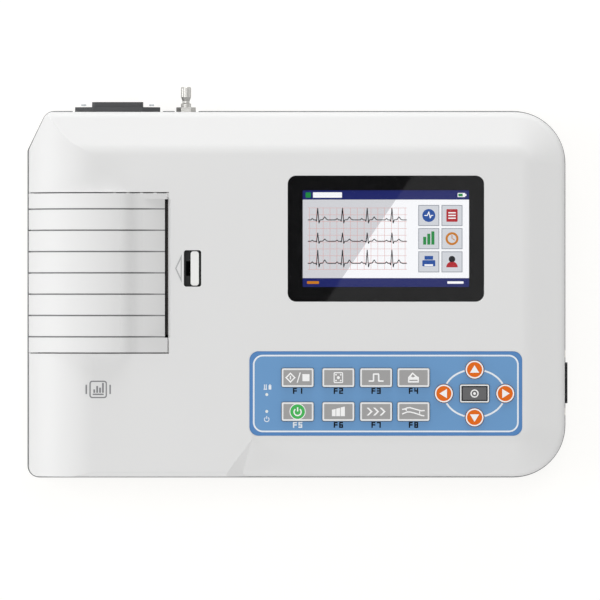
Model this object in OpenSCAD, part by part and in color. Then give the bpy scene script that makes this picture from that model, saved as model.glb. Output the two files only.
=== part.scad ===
// Three-channel electrocardiograph: a portable bench recorder with a thermal
// printer under a hinged paper door, a colour display and a keypad.
// Sizes are in millimetres. Z is up and the feet stand on z = 0.
// Left, right, front and rear are as the user sees the machine from the front.

/* [Case] */
// Width of the case, left to right
case_w = 315; // [312:1:325]
// Depth of the case, front to rear
case_d = 214; // [212:1:224]
// Height of the flat top above the table
top_z = 72; // [71.5:0.5:75]
// Height of the joint line between the two covers
split_z = 28; // [26:0.5:29]
// Wall thickness of the covers
wall = 2.5; // [2:0.1:2.8]
// Radius of the two right-hand corners, seen from above
corner_r = 30; // [26:1:36]
// Width of the sloping border along the rear, right and front
border_w = 22; // [18:1:24]
// How far the border falls from its crease to the wall
border_drop = 11; // [8:0.5:13]
// Radius where the border turns down into the wall
edge_r = 6; // [4:0.5:8]
// Radius along the foot of the wall
base_r = 7; // [5:0.5:9]
// Radius of the roll down the left side
roll_r = 38; // [36:0.5:40]
// Width of the cut corner at the rear left
cut_w = 11; // [8:0.5:13]
// Length of the cut corner at the rear left
cut_l = 22.5; // [18:0.5:24]
// Distance from the left side to where the front border starts
step_x = 131.5; // [126:0.5:136]
// Height of the rubber feet under the case
foot_h = 3; // [2:0.5:4]
// Radius of a rubber foot
foot_r = 9; // [7:0.5:11]

/* [Paper door] */
// Width of the door, front to rear
door_w = 93.3; // [93:0.1:96]
// Distance from the case's centre line to the door's centre line
door_y = 12.5; // [11:0.5:14]
// Distance from the left side to the door's free edge
door_reach = 82.1; // [81.5:0.1:83]
// Thickness of the door's skin
door_t = 2.4; // [2:0.1:2.8]
// Radius of the door's bulge over the paper roll
bulge_r = 48; // [46:0.5:50]
// Distance from the left side to the end of the bulge
bulge_end = 54; // [52:0.5:56]
// Run of the slope from the bulge down to the flat lip
bulge_run = 7.5; // [6:0.5:9]
// Number of grooves across the door
groove_count = 7; // [5:2:7]
// Distance between two grooves
groove_pitch = 12.5; // [11:0.5:12.5]
// Width of a groove
groove_w = 1; // [0.8:0.1:1.2]
// Depth of a groove
groove_d = 0.9; // [0.6:0.1:1]
// Width of the paper exit slot
slot_gap = 1.7; // [1.4:0.1:2]
// Length of the shallow ramp that leads the paper to the slot
ramp_run = 13; // [11:0.5:13.5]
// Depth of the ramp at the slot
ramp_d = 1.6; // [1.2:0.1:1.8]
// Width of the open seam round the door
seam_w = 0.7; // [0.5:0.1:0.9]
// Radius of the hinge barrel
barrel_r = 5.3; // [5:0.1:5.6]
// Radius of the hinge pin
hinge_pin_r = 1.5; // [1.2:0.1:2]

/* [Printer] */
// Width of the recording paper
paper_w = 80; // [79:0.5:80]
// Radius of a full paper roll
roll_room = 25; // [24:0.5:25.5]
// Radius of the platen's rubber
platen_r = 5.5; // [5:0.1:5.7]
// Radius of the platen's shaft
shaft_r = 2; // [1.8:0.1:2.3]
// Module of the gear teeth
gear_m = 0.5; // [0.48:0.01:0.52]
// Teeth on the platen's gear
platen_teeth = 24; // [23:1:25]
// Teeth on the idler's small wheel
idler_small_teeth = 18; // [17:1:19]
// Teeth on the idler's large wheel
idler_large_teeth = 40; // [38:1:42]
// Teeth on the motor's pinion
pinion_teeth = 14; // [14:1:15]
// Radius of the stepper motor
motor_r = 10; // [9:0.5:10.5]
// Length of the stepper motor
motor_l = 16; // [12:1:24]
// Thickness of the printer's steel frame
frame_t = 1.2; // [1:0.1:1.4]

/* [Release slide] */
// Width of the black recess
recess_w = 10.2; // [10.2:0.1:11]
// Length of the black recess
recess_l = 21.4; // [20:0.2:24]
// Width of the white slide
slide_w = 4.8; // [4:0.1:4.8]
// Distance from the door's free edge to the recess
recess_gap = 9.4; // [9:0.1:10.5]
// Travel of the slide
slide_travel = 3.3; // [2.8:0.1:3.3]

/* [Display] */
// Width of the display window
window_w = 115.3; // [113:0.5:120]
// Depth of the display window, front to rear
window_d = 74.1; // [73:0.5:78]
// Thickness of the window plate
window_t = 1.5; // [1.2:0.1:1.6]
// Radius of the window's corners
window_r = 5; // [3:0.5:8]
// Width of the lit display area
lit_w = 97.5; // [95:0.5:100]
// Depth of the lit display area
lit_d = 56.6; // [54:0.5:58]
// Distance from the right side to the window
window_right = 47.4; // [44:0.5:50]
// Distance from the rear to the window
window_rear = 37.4; // [35:0.5:39]

/* [Keypad] */
// Width of the blue panel
panel_w = 160; // [158:0.5:162]
// Depth of the blue panel
panel_d = 49.6; // [48.5:0.5:52]
// Radius of the panel's corners
panel_r = 5.3; // [4:0.5:7]
// Thickness of the panel
panel_t = 0.6; // [0.4:0.1:0.8]
// Distance from the right side to the panel
panel_right = 25.1; // [24.5:0.1:27]
// Distance from the front to the panel
panel_front = 24; // [23.5:0.5:26]
// Width of a function key, as a share of the panel's
key_share = 0.117; // [0.11:0.001:0.12]
// Depth of a function key
key_d = 11; // [10:0.1:12]
// Height of the keys above the panel
key_rise = 1; // [0.8:0.1:1.5]
// Radius of an arrow key
arrow_r = 5.3; // [4.8:0.1:5.6]
// Distance between the left and right arrow keys, as a share of the panel's width
arrow_share = 0.225; // [0.215:0.001:0.23]
// Distance between the front and rear arrow keys
arrow_span_y = 28; // [27.5:0.5:30]
// Width of the centre key
centre_w = 17.1; // [16:0.1:18]
// Depth of the centre key
centre_d = 10.6; // [10:0.1:11]
// Travel of a key
key_travel = 0.8; // [0.5:0.1:0.9]

/* [Sockets] */
// Distance from the left side to the mains inlet
inlet_x = 52.3; // [50:0.5:54]
// Height of the mains inlet and the earth stud
rear_z = 32; // [31:0.5:33.5]
// Width of the mains inlet's flange
inlet_flange_w = 50; // [48:0.5:52]
// Distance from the left side to the earth stud
earth_x = 92.5; // [90:0.5:100]
// Radius of the earth stud
earth_r = 3; // [2.8:0.1:3.2]
// Length of the earth stud outside the case
earth_l = 15; // [13:0.5:17]
// Distance from the centre line to the lead socket
lead_y = -52.1; // [-54:0.5:-48]
// Height of the lead socket
side_z = 38; // [37.5:0.5:40]
// Distance between the lead socket's screw posts
lead_screw_span = 33.3; // [32.5:0.1:34]
// How far the lead socket stands out of the wall
lead_out = 1.9; // [1.5:0.1:2.5]
// Distance from the centre line to the data socket
usb_y = -14; // [-18:1:-6]

/* [Battery] */
// Length of the battery pack
battery_l = 74; // [70:1:76]
// Width of the battery pack
battery_w = 70; // [66:1:72]
// Thickness of the battery pack
battery_t = 19; // [17:0.5:19.5]

/* [Hidden] */
$fn = 64;

// The parts' own origin: under the middle of everything, stud and socket included
origin_x = lead_out / 2;
origin_y = earth_l / 2;

// Edges of the case, in its own centred frame
left_x = -case_w / 2;
right_x = case_w / 2;
front_y = -case_d / 2;
rear_y = case_d / 2;
base_z = foot_h;
floor_z = base_z + wall;
skin_z = top_z - wall;
slope = atan2(border_drop, border_w);
crease_r = 14;
front_top_r = 3;
front_corner_r = 6;
cut_r = 6;
lip_h = 2;
lip_t = 1.1;
gap = 0.3;        // clearance round parts that lift, slide or drop in
run_gap = 0.05;   // radial clearance of a shaft in its bush
far = 400;        // longer than the case, for cutting tools

// The step at the front, where the border starts
step_top = 16.5;   // how far its upper edge runs back to the left
step_foot = 10.5;  // width of its sloping face at the front wall

// Paper door
door_front = door_y - door_w / 2;
door_rear = door_y + door_w / 2;
door_right = left_x + door_reach;
roll_c = [left_x + roll_r, top_z - roll_r];
bulge_turn = 150;  // direction in which the bulge leaves the roll
bulge_c = roll_c - (bulge_r - roll_r) * [cos(bulge_turn), sin(bulge_turn)];
bulge_x = left_x + bulge_end;
bulge_z = bulge_c.y + sqrt(pow(bulge_r, 2) - pow(bulge_x - bulge_c.x, 2));
bulge_slope = atan2(bulge_z - top_z, bulge_run);
hinge = [left_x + barrel_r, top_z - roll_r + 4];
sill_z = hinge.y - barrel_r - 2;   // lower edge of the door's opening
door_lip = 5;
seam_d = 1.2;      // depth of the open seam
ramp_x = door_right - slot_gap - ramp_run;
rib_t = 1.5;
rib_d = 4;
ear_l = 6;

// Printer
print_y = door_y + 2.6;
platen_l = paper_w + 0.6;
slot_l = paper_w + 1.2;
head_face_x = door_right - slot_gap / 2;
platen = [head_face_x - platen_r, top_z - door_t - platen_r - 3.6];
head_gap = 0.05;
frame_gap = 0.4;
frame_rear = print_y + platen_l / 2 + frame_gap;   // inner faces of the frame's sides
frame_front = print_y - platen_l / 2 - frame_gap;
lug_t = 1.8;
lug_gap = 0.3;
lug_front = frame_front - frame_t - lug_gap;      // rear face of the front lug
bush_r = 3.2;
gear_t = 1.8;
gear_a = lug_front - lug_t - lug_gap;             // rear face of the platen gear
gear_b = gear_a - gear_t - lug_gap;               // rear face of the large wheel
addendum = 0.8;
dedendum = 1.1;
backlash = 0.12;
pressure = 20;
idler_turn = -75;
motor_turn = -65;
function pitch_r(teeth) = gear_m * teeth / 2;
idler = platen + (pitch_r(platen_teeth) + pitch_r(idler_small_teeth)) * [cos(idler_turn), sin(idler_turn)];
motor = idler + (pitch_r(idler_large_teeth) + pitch_r(pinion_teeth)) * [cos(motor_turn), sin(motor_turn)];
stud_r = 1.5;
motor_shaft_r = 1;
frame_left = platen.x - 6.75;
frame_back = motor.x + motor_r + gap + frame_t;
frame_foot = motor.y - motor_r - frame_t - 2;
frame_top = platen.y + 4.5;
slide_z = top_z - 5.2;             // underside of the release bar
bar_t = 1.5;
ledge_z = slide_z - 0.1;
head_t = 1;
sink_t = 4;
sink_x = head_face_x + head_gap + head_t;
head_pivot = [sink_x + sink_t / 2, platen.y - 9.5];
head_pivot_r = 1.5;
head_top = platen.y + 5.5;
head_l = platen_l - 2;
spring_z = platen.y - 0.5;
spring_r = 2.4;
spring_wire = 0.5;
spring_spread = 20;

// Paper tub and spindle
tub_t = 2;
tub_r = roll_room + 1.5;
tub_gap = 11;      // from the door's outside down to the tub's rim
tub_c = [bulge_c.x - 6.7, tub_r + tub_t + floor_z + 4];
tub_front = frame_front - 0.5;
tub_rear = frame_rear;
journal_r = 2.5;
spindle_r = 5.6;

// Release slide
recess_x = door_right + recess_gap + recess_w / 2;
recess_t = 0.4;
recess_deep = 2.5;
recess_floor = 0.8;
slide_x = recess_x + recess_w / 2 - recess_t - 1 - slide_w / 2;
slide_l = recess_l - 2 * recess_t - 0.5;
cam_z = platen.y + 1.5;
cam_run = 1.65;
cam_x = platen.x + 4.2;
finger_x = cam_x + slide_travel + gap;
bar_left = slide_x - 6;
bar_right = slide_x + 4;
post_y = platen_l / 2 - 6.3;       // the return spring, from the slide's middle line
return_r = 0.9;
return_wire = 0.3;

// Display
window_x = right_x - window_right - window_w / 2;
window_y = rear_y - window_rear - window_d / 2;
lcd_w = lit_w + 8;
lcd_d = lit_d + 10;
lcd_t = 3;
ledge_w = 1.5;
bracket_t = 1;
bracket_ear = 6;
ribbon_w = 22;
ribbon_t = 0.4;

// Keypad
panel_x = right_x - panel_right - panel_w / 2;
panel_y = front_y + panel_front + panel_d / 2;
pad_x = panel_x + panel_w * 0.325;       // middle of the arrow keys
key_w = panel_w * key_share;
arrow_span_x = panel_w * arrow_share;
key_r = 1;
col_x = panel_w * [-0.3231, -0.1738, -0.0356, 0.1013];   // function key columns, from the panel's middle
row_y = [9.3, -10.6];                     // function key rows, from the panel's middle
led_x = -panel_w * 0.436;
led_y = [-0.6, -10.5];
led_r = 0.9;
flange_w = 1.1;
flange_t = 1;
flange_z = skin_z - 0.2;
key_foot_z = skin_z - 2;
dome_h = 1.2;
mat_t = 0.8;
mat_z = key_foot_z - dome_h;
board_t = 1.6;
pad_board_z = mat_z - mat_t - board_t;

// Sockets
inlet_c = left_x + inlet_x;
inlet_w = 27;
inlet_h = 19.4;
inlet_deep = 22;
inlet_flange_h = 27;
inlet_flange_t = 3;
inlet_collar = 3;
inlet_bore_w = 24.4;
inlet_bore_h = 16.8;
inlet_bore_deep = 16;
inlet_screw = 20;
stud_c = left_x + earth_x;
lead_pad = 2;
lead_shell_w = 25;
lead_shell_h = 8.4;
lead_reach = wall + lead_pad + lead_out;
lead_flange_w = 39.2;
lead_flange_h = 12.5;
lead_flange_t = 1;
lead_foot_w = 16;
post_af = 5;
post_out = 0.7;
post_thread_r = 1.2;
usb_w = 13.2;
usb_h = 5.8;

// Inside
screw_in = 10;      // cover screws, from the wall
boss_r = 4;
screw_r = 1.5;
screw_head_r = 2.8;
screw_head_t = 1.8;
board_z = side_z - 8;
main_left = 0;
main_right = 8;     // main board's edges, from the case's middle and right side
main_d = 140;
bay_x = 52;
bay_y = -5;
bay_t = 2;
cover_t = 2;
power_z = 14;
standoff_r = 3;
post_in = 4;        // main board's posts, from its front and rear edges
power_w = 82;
power_d = 26;
power_post_in = 6;
power_x = left_x + 30;
power_y = rear_y - 14 - power_d;
coil_w = 22;
coil_d = 19;
coil_h = 20;
can_r = 4.5;
can_h = 18;
corner_c = [right_x - corner_r, rear_y - corner_r];
diag = (corner_r - screw_in) * cos(45);
cover_screws = [for (s = [-1, 1]) each [
    [corner_c.x + diag, s * (corner_c.y + diag)],
    [main_left + boss_r + 0.5, s * (rear_y - screw_in)],
    [left_x + 25.5, s * (rear_y - screw_in)]]];

// ---------------------------------------------------------------- helpers

function unit(v) = v / norm(v);
function turn(from, to) = let (d = to - from) d > 180 ? d - 360 : d < -180 ? d + 360 : d;

// The arc that rounds corner p between a and b
function round_off(p, a, b, r, n) =
    let (u = unit(a - p), v = unit(b - p), half = acos(u * v) / 2)
    let (c = p + unit(u + v) * r / sin(half), s = p + u * r / tan(half) - c, e = p + v * r / tan(half) - c)
    let (from = atan2(s.y, s.x), by = turn(from, atan2(e.y, e.x)))
    [for (i = [0 : n]) c + r * [cos(from + by * i / n), sin(from + by * i / n)]];

// An outline from [x, y, radius] corners
function rounded(corners, n = 6) = let (k = len(corners)) [for (i = [0 : k - 1])
    let (p = corners[i], a = corners[(i + k - 1) % k], b = corners[(i + 1) % k])
    each p.z > 0 ? round_off([p.x, p.y], [a.x, a.y], [b.x, b.y], p.z, n) : [[p.x, p.y]]];

// A flat shape in the XZ plane, drawn out along Y
module along_y(from, to) {
    translate([0, to, 0]) rotate([90, 0, 0]) linear_extrude(to - from) children();
}

// A flat shape in the YZ plane, drawn out along X
module along_x(from, to) {
    translate([from, 0, 0]) rotate([90, 0, 90]) linear_extrude(to - from) children();
}

// A flat shape in the XY plane, between two heights
module between(low, high) {
    translate([0, 0, low]) linear_extrude(high - low) children();
}

module box(low, high) {
    translate(low) cube(high - low);
}

// A rectangle with round corners, true arcs
module slab(w, d, r) {
    square([w - 2 * r, d], center = true);
    square([w, d - 2 * r], center = true);
    for (x = [-1, 1], y = [-1, 1]) translate([x * (w / 2 - r), y * (d / 2 - r)]) circle(r);
}

module rod_x(from, to, r) {
    translate([from, 0, 0]) rotate([0, 90, 0]) cylinder(h = to - from, r = r);
}

module rod_y(from, to, r) {
    translate([0, to, 0]) rotate([90, 0, 0]) cylinder(h = to - from, r = r);
}

// A coil spring that stands on z = 0, as one swept tube
module coil_spring(r, wire, turns, length) {
    sides = 6;
    per_turn = 12;
    steps = turns * per_turn;
    rise = (length - 2 * wire) / steps;
    rings = [for (i = [0 : steps]) let (a = 360 * i / per_turn)
        for (j = [0 : sides - 1]) let (b = 360 * j / sides, d = r + wire * cos(b))
            [d * cos(a), d * sin(a), wire + rise * i + wire * sin(b)]];
    skin = [for (i = [0 : steps - 1], j = [0 : sides - 1])
        let (p = i * sides + j, q = i * sides + (j + 1) % sides) [p, p + sides, q + sides, q]];
    polyhedron(rings, concat(skin,
        [[for (j = [0 : sides - 1]) j]],
        [[for (j = [sides - 1 : -1 : 0]) steps * sides + j]]));
}

// A pan-head screw whose head stands on z = 0, pointing down
module screw(length) {
    cylinder(h = screw_head_t, r = screw_head_r);
    translate([0, 0, -length]) cylinder(h = length, r = screw_r);
}

// ------------------------------------------------------------------- case

// Where the sloping border meets the wall and the flat top, at an inset of o
function wall_top(o) = top_z - border_drop + o * tan(slope) - o / cos(slope);
function crease(o) = border_w + o * tan(slope / 2);
function inner(r, o) = max(r - o, 0.5);

// The border's section as a distance from an axis that is corner_r inside the wall
module border_section(o) polygon(rounded([
    [0, base_z + o, 0],
    [corner_r - o, base_z + o, inner(base_r, o)],
    [corner_r - o, wall_top(o), inner(edge_r, o)],
    [corner_r - crease(o), top_z - o, crease_r],
    [0, top_z - o, 0]]));

// The same where the flat top runs out to a plain upright wall
module plain_section(o) polygon(rounded([
    [0, base_z + o, 0],
    [corner_r - o, base_z + o, inner(base_r, o)],
    [corner_r - o, top_z - o, inner(front_top_r, o)],
    [0, top_z - o, 0]]));

// Across the case from front to rear: the front's section, the flat and the rear's border
module cross_section(o) {
    mirror([1, 0]) translate([corner_c.y, 0]) children();
    translate([corner_c.y, 0]) border_section(o);
    translate([-corner_c.y - 1, base_z + o]) square([2 * corner_c.y + 2, top_z - base_z - 2 * o]);
}

module roll_section(o) {
    translate(roll_c) circle(roll_r - o);
    polygon(rounded([
        [left_x + o, base_z + o, inner(base_r, o)],
        [left_x + o, roll_c.y, 0],
        [roll_c.x, roll_c.y, 0],
        [roll_c.x, top_z - o, 0],
        [left_x + step_x, top_z - o, 0],
        [left_x + step_x, base_z + o, 0]]));
}

// The left part's outline from above, with its cut corner
module left_plan(o) {
    run = cut_w / cut_l;
    shift = o * (norm([cut_w, cut_l]) / cut_l);
    polygon(rounded([
        [left_x + o, front_y + o, inner(front_corner_r, o)],
        [left_x + step_x, front_y + o, 0],
        [left_x + step_x, rear_y - o, 0],
        [left_x + (cut_l - o) * run + shift, rear_y - o, cut_r],
        [left_x + o, rear_y - cut_l - (shift - o) / run, cut_r / 2]]));
}

// The whole outline from above
module plan(o) {
    left_plan(o);
    translate([left_x + step_x - 1, front_y + o]) square([corner_c.x - left_x - step_x + 1, case_d - 2 * o]);
    translate([corner_c.x - 1, -corner_c.y]) square([corner_r + 1 - o, 2 * corner_c.y]);
    for (s = [-1, 1]) translate([corner_c.x, s * corner_c.y]) circle(corner_r - o, $fn = 64);
}

// Everything beyond the sloping step at the front
module beyond_step(o) {
    edge = [step_top, border_w];
    face = step_foot * border_w / norm(edge);
    fall = border_drop / face;
    lean = o * norm([face, border_drop]) / border_drop;
    translate([left_x + step_x, front_y + border_w, 0])
        rotate([0, 0, -atan2(step_top, border_w)])
            along_y(-far, far) polygon([
                [-far / fall - lean, top_z + far],
                [far, top_z + far],
                [far, 0],
                [top_z / fall - lean, 0]]);
}

module case_form(o) {
    along_x(left_x + step_x - 30, corner_c.x) cross_section(o) border_section(o);
    along_y(-corner_c.y, corner_c.y) translate([corner_c.x, 0]) border_section(o);
    translate([corner_c.x, corner_c.y, 0]) rotate_extrude(angle = 90, $fn = 64) border_section(o);
    translate([corner_c.x, -corner_c.y, 0]) rotate([0, 0, -90]) rotate_extrude(angle = 90, $fn = 64) border_section(o);
    difference() {
        intersection() {
            along_y(front_y, rear_y) roll_section(o);
            along_x(left_x, left_x + step_x) cross_section(o) plain_section(o);
            linear_extrude(far) left_plan(o);
        }
        beyond_step(o);
    }
}

module below(z) {
    box([-far, -far, -far], [far, far, z]);
}

module above(z) {
    box([-far, -far, z], [far, far, far]);
}

// Cuts that both covers share
module rear_cuts() {
    along_y(rear_y - wall - 1, rear_y + 1) {
        translate([inlet_c, rear_z]) square([inlet_w + 2 * gap, inlet_h + 2 * gap], center = true);
        translate([stud_c, rear_z]) circle(earth_r);
    }
}

module inlet_screw_holes() {
    for (s = [-1, 1]) translate([inlet_c + s * inlet_screw, 0, rear_z])
        rod_y(rear_y - wall - 1, rear_y + 1, screw_r);
}

module door_opening() {
    box([left_x - 1, door_front - gap, sill_z], [door_right + gap, door_rear + gap, top_z + 10]);
    // open seam, cut to one depth below the cover's surface
    along_y(door_front - seam_w, door_rear + seam_w) difference() {
        translate([left_x - 1, sill_z]) square([door_right + seam_w - left_x + 1, top_z + 10 - sill_z]);
        translate(roll_c) circle(roll_r - seam_d);
        translate([roll_c.x, 0]) square([far, top_z - seam_d]);
        translate([left_x + seam_d, 0]) square([far, roll_c.y]);
    }
    // bevel beside the paper slot
    along_y(print_y - slot_l / 2, print_y + slot_l / 2) polygon([
        [door_right, top_z - 2.6], [door_right + gap + 1.5, top_z + 0.1], [door_right, top_z + 0.1]]);
}

module hinge_ears() {
    for (y = [door_rear + gap, door_front - gap - ear_l])
        translate([hinge.x, 0, hinge.y]) {
            rod_y(y, y + ear_l, barrel_r - gap);
            box([-barrel_r + gap, y, -barrel_r + gap], [0, y + ear_l, 0]);
        }
}

module cover_bosses() {
    for (p = cover_screws) translate([p.x, p.y, split_z + lip_h])
        cylinder(h = top_z - split_z - lip_h, r = boss_r);
}

module keypad_bosses() {
    for (p = keypad_screws) translate([p.x, p.y, pad_board_z + board_t])
        cylinder(h = skin_z - pad_board_z - board_t + 0.3, r = 2.6);
}

module bracket_bosses() {
    for (p = bracket_screws) translate([p.x, p.y, skin_z - lcd_t])
        cylinder(h = lcd_t + 0.3, r = 3);
}

module window_cut() {
    translate([window_x, window_y, 0]) {
        between(top_z - window_t, top_z + 1) slab(window_w, window_d, window_r);
        between(skin_z - 1, top_z) square([lit_w + 2 * ledge_w, lit_d + 2 * ledge_w], center = true);
    }
}

module panel_cut() {
    translate([panel_x, panel_y, 0]) between(top_z - panel_t, top_z + 1) slab(panel_w, panel_d, panel_r);
    between(skin_z - 1, top_z) {
        for (k = function_keys) translate(k) slab(key_w + 2 * gap, key_d + 2 * gap, key_r + gap);
        for (k = arrow_keys) translate(k) circle(arrow_r + gap);
        translate([pad_x, panel_y]) slab(centre_w + 2 * gap, centre_d + 2 * gap, key_r + gap);
        for (y = led_y) translate([panel_x + led_x, panel_y + y]) circle(led_r);
    }
}

module recess_cut() {
    between(skin_z - 1, top_z + 1) translate([recess_x, print_y]) slab(recess_w, recess_l, 1.5);
}

// Raised arrow outline beside the recess, pointing to the door
module arrow_mark() {
    x = recess_x - recess_w / 2 - 1.2;
    between(top_z - 0.35, top_z + 1) difference() {
        polygon([[x, print_y - 8.5], [x - 4, print_y], [x, print_y + 8.5]]);
        polygon([[x - 0.6, print_y - 5.2], [x - 3.1, print_y], [x - 0.6, print_y + 5.2]]);
    }
}

module side_cuts() {
    translate([0, lead_y, side_z]) {
        along_x(right_x - wall - lead_pad - 1, right_x + 1) lead_outline(gap);
        for (s = [-1, 1]) translate([0, s * lead_screw_span / 2, 0])
            rod_x(right_x - wall - lead_pad - 1, right_x + 1, post_af / 2 / cos(30) + 0.1);
    }
    box([right_x - wall - 1, usb_y - usb_w / 2 - gap, side_z - usb_h / 2 - gap],
        [right_x + 1, usb_y + usb_w / 2 + gap, side_z + usb_h / 2 + gap]);
}

// Where the covers' lip and groove run: not along the door's hinge
module lip_zone(o) {
    difference() {
        plan(o);
        translate([left_x - 1, door_front - gap - ear_l - 1])
            square([hinge.x + barrel_r + 3 - left_x, door_w + 2 * (gap + ear_l + 1)]);
    }
}

module top_cover() {
    color("whitesmoke") difference() {
        union() {
            difference() {
                intersection() {
                    case_form(0);
                    above(split_z);
                }
                case_form(wall);
            }
            intersection() {
                union() {
                    hinge_ears();
                    cover_bosses();
                }
                case_form(wall / 2);
            }
            keypad_bosses();
            bracket_bosses();
            // thicker wall behind the lead socket
            box([right_x - wall - lead_pad, lead_y - 21.5, side_z - 7.5], [right_x - wall + 0.5, lead_y + 21.5, side_z + 7.5]);
            // stop for the return spring
            box([bar_left - 6.6, print_y + post_y - 3, slide_z + 0.2], [bar_left - 5.6, print_y + post_y + 3, skin_z + 0.3]);
        }
        between(split_z - 1, split_z + lip_h + 0.1) lip_zone(wall - lip_t - 0.1);
        door_opening();
        window_cut();
        panel_cut();
        recess_cut();
        arrow_mark();
        rear_cuts();
        inlet_screw_holes();
        side_cuts();
        translate([hinge.x, 0, hinge.y]) rod_y(door_front - gap - ear_l, door_rear + gap + ear_l, hinge_pin_r);
        for (p = cover_screws) translate([p.x, p.y, split_z - 1]) cylinder(h = 13, r = screw_r);
        for (p = keypad_screws) translate([p.x, p.y, pad_board_z]) cylinder(h = 5, r = 1.2);
        for (p = bracket_screws) translate([p.x, p.y, skin_z - lcd_t - 1]) cylinder(h = 4, r = 1.2);
    }
}

foot_in = 30;
feet = [for (x = [-1, 1], y = [-1, 1]) [x * (case_w / 2 - foot_in), y * (case_d / 2 - foot_in)]];
foot_deep = 1;
speaker_at = [right_x - 73.5, front_y + 35];
main_posts = [for (x = [main_left + 6, right_x - main_right - 6], y = [-1, 1]) [x, y * (main_d / 2 - post_in)]];
power_posts = [for (x = [power_x + power_post_in, power_x + power_w - power_post_in]) [x, power_y + power_post_in]];
frame_posts = [for (x = [frame_left + 5, frame_back - 6], y = [-18, 28]) [x, print_y + y]];
bay_w = battery_l + 2 * gap;
bay_d = battery_w + 2 * gap;
bay_top = base_z + cover_t + battery_t + gap;

module floor_vents() {
    for (i = [0 : 6]) translate([left_x + 50 + 8 * i, rear_y - 46, 0]) slab(2, 16, 0.9);
}

module speaker_slots() {
    for (i = [-2 : 2]) translate([speaker_at.x + 4.5 * i, speaker_at.y]) slab(2, 22 - 4 * abs(i), 0.9);
}

module bottom_cover() {
    $fn = 32;
    color("whitesmoke") difference() {
        union() {
            difference() {
                intersection() {
                    case_form(0);
                    below(split_z + lip_h);
                }
                case_form(wall);
                between(split_z, far) difference() {
                    square(2 * far, center = true);
                    lip_zone(wall - lip_t);
                }
            }
            for (p = cover_screws) translate([p.x, p.y, floor_z - 1]) cylinder(h = split_z + lip_h - floor_z + 1, r = boss_r);
            for (p = main_posts) translate([p.x, p.y, floor_z - 0.5]) cylinder(h = board_z - floor_z + 0.5, r = standoff_r);
            for (p = power_posts) translate([p.x, p.y, floor_z - 0.5]) cylinder(h = power_z - floor_z + 0.5, r = standoff_r);
            for (p = frame_posts) translate([p.x, p.y, floor_z - 0.5]) cylinder(h = frame_foot - floor_z + 0.5, r = standoff_r);
            // battery bay, open below
            box([bay_x - bay_w / 2 - bay_t, bay_y - bay_d / 2 - bay_t, base_z + 0.5],
                [bay_x + bay_w / 2 + bay_t, bay_y + bay_d / 2 + bay_t, bay_top + bay_t]);
            // saddles under the paper tub
            for (y = [print_y - 30, print_y + 30]) along_y(y - 1, y + 1) difference() {
                translate([tub_c.x - 16, floor_z - 0.5]) square([32, 8]);
                translate(tub_c) circle(tub_r + tub_t);
            }
            // raised seats over the feet
            for (p = feet) translate([p.x, p.y, base_z]) cylinder(h = wall + foot_deep, r = foot_r + 2);
            // ring round the speaker
            translate([speaker_at.x, speaker_at.y, floor_z - 0.5]) difference() {
                cylinder(h = 3, r = 16.5);
                translate([0, 0, -1]) cylinder(h = 5, r = 14.2);
            }
        }
        rear_cuts();
        for (p = feet) translate([p.x, p.y, base_z - 1]) cylinder(h = foot_deep + 1, r = foot_r);
        box([bay_x - bay_w / 2, bay_y - bay_d / 2, 0], [bay_x + bay_w / 2, bay_y + bay_d / 2, bay_top]);
        translate([bay_x, bay_y, 0]) between(0, base_z + cover_t) slab(bay_w + 2 * bay_t + 8, bay_d + 4, 2);
        for (p = cover_screws) translate([p.x, p.y, 0]) {
            cylinder(h = floor_z + 4, r = screw_head_r + 0.3);
            cylinder(h = split_z + 5, r = screw_r + 0.2);
        }
        for (p = concat(main_posts, frame_posts)) translate([p.x, p.y, floor_z + 2]) cylinder(h = 40, r = screw_r);
        for (p = power_posts) translate([p.x, p.y, floor_z + 1]) cylinder(h = 20, r = screw_r);
        for (s = bay_screws) translate([s.x, s.y, 0]) cylinder(h = bay_screw_top, r = screw_r);
        between(base_z - 1, floor_z + 1) floor_vents();
        between(base_z - 1, floor_z + 1) speaker_slots();
    }
}

module rubber_feet() {
    color("dimgray") for (p = feet) translate([p.x, p.y, 0]) {
        cylinder(h = 0.8, r1 = foot_r - 0.8, r2 = foot_r);
        translate([0, 0, 0.8]) cylinder(h = base_z + foot_deep - 0.8, r = foot_r);
    }
}

module case_screws() {
    color("silver") {
        for (p = cover_screws) translate([p.x, p.y, floor_z + 4]) mirror([0, 0, 1]) screw(split_z - floor_z + 4);
        for (s = bay_screws) translate([s.x, s.y, base_z + screw_head_t]) mirror([0, 0, 1]) screw(6);
    }
}

// ---------------------------------------------------------------- battery

bay_screw_x = bay_w / 2 + bay_t + 0.5;
bay_screws = [for (s = [-1, 1]) [bay_x + s * bay_screw_x, bay_y]];
bay_screw_top = base_z + cover_t + 8;

module battery_cover() {
    color("whitesmoke") difference() {
        translate([bay_x, bay_y, 0]) between(base_z, base_z + cover_t) slab(bay_w + 2 * bay_t + 8 - gap, bay_d + 4 - gap, 2);
        for (s = bay_screws) translate([s.x, s.y, 0]) {
            cylinder(h = base_z + screw_head_t, r = screw_head_r + 0.2);
            cylinder(h = base_z + cover_t + 1, r = screw_r + 0.2);
        }
        // finger ridges
        for (i = [-2 : 2]) translate([bay_x + 8 * i, bay_y - bay_d / 2 + 8, 0]) between(0, base_z + 0.6) slab(2, 10, 0.9);
    }
}

module battery_pack() {
    color("royalblue") translate([bay_x, bay_y, 0])
        between(base_z + cover_t, base_z + cover_t + battery_t) slab(battery_l, battery_w, 4);
}

// ---------------------------------------------------------------- display

bracket_screws = [for (x = [-1, 1], y = [-1, 1])
    [window_x + x * (lcd_w / 2 + bracket_ear / 2 + 0.6), window_y + y * (lcd_d / 2 - 6)]];

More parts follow.
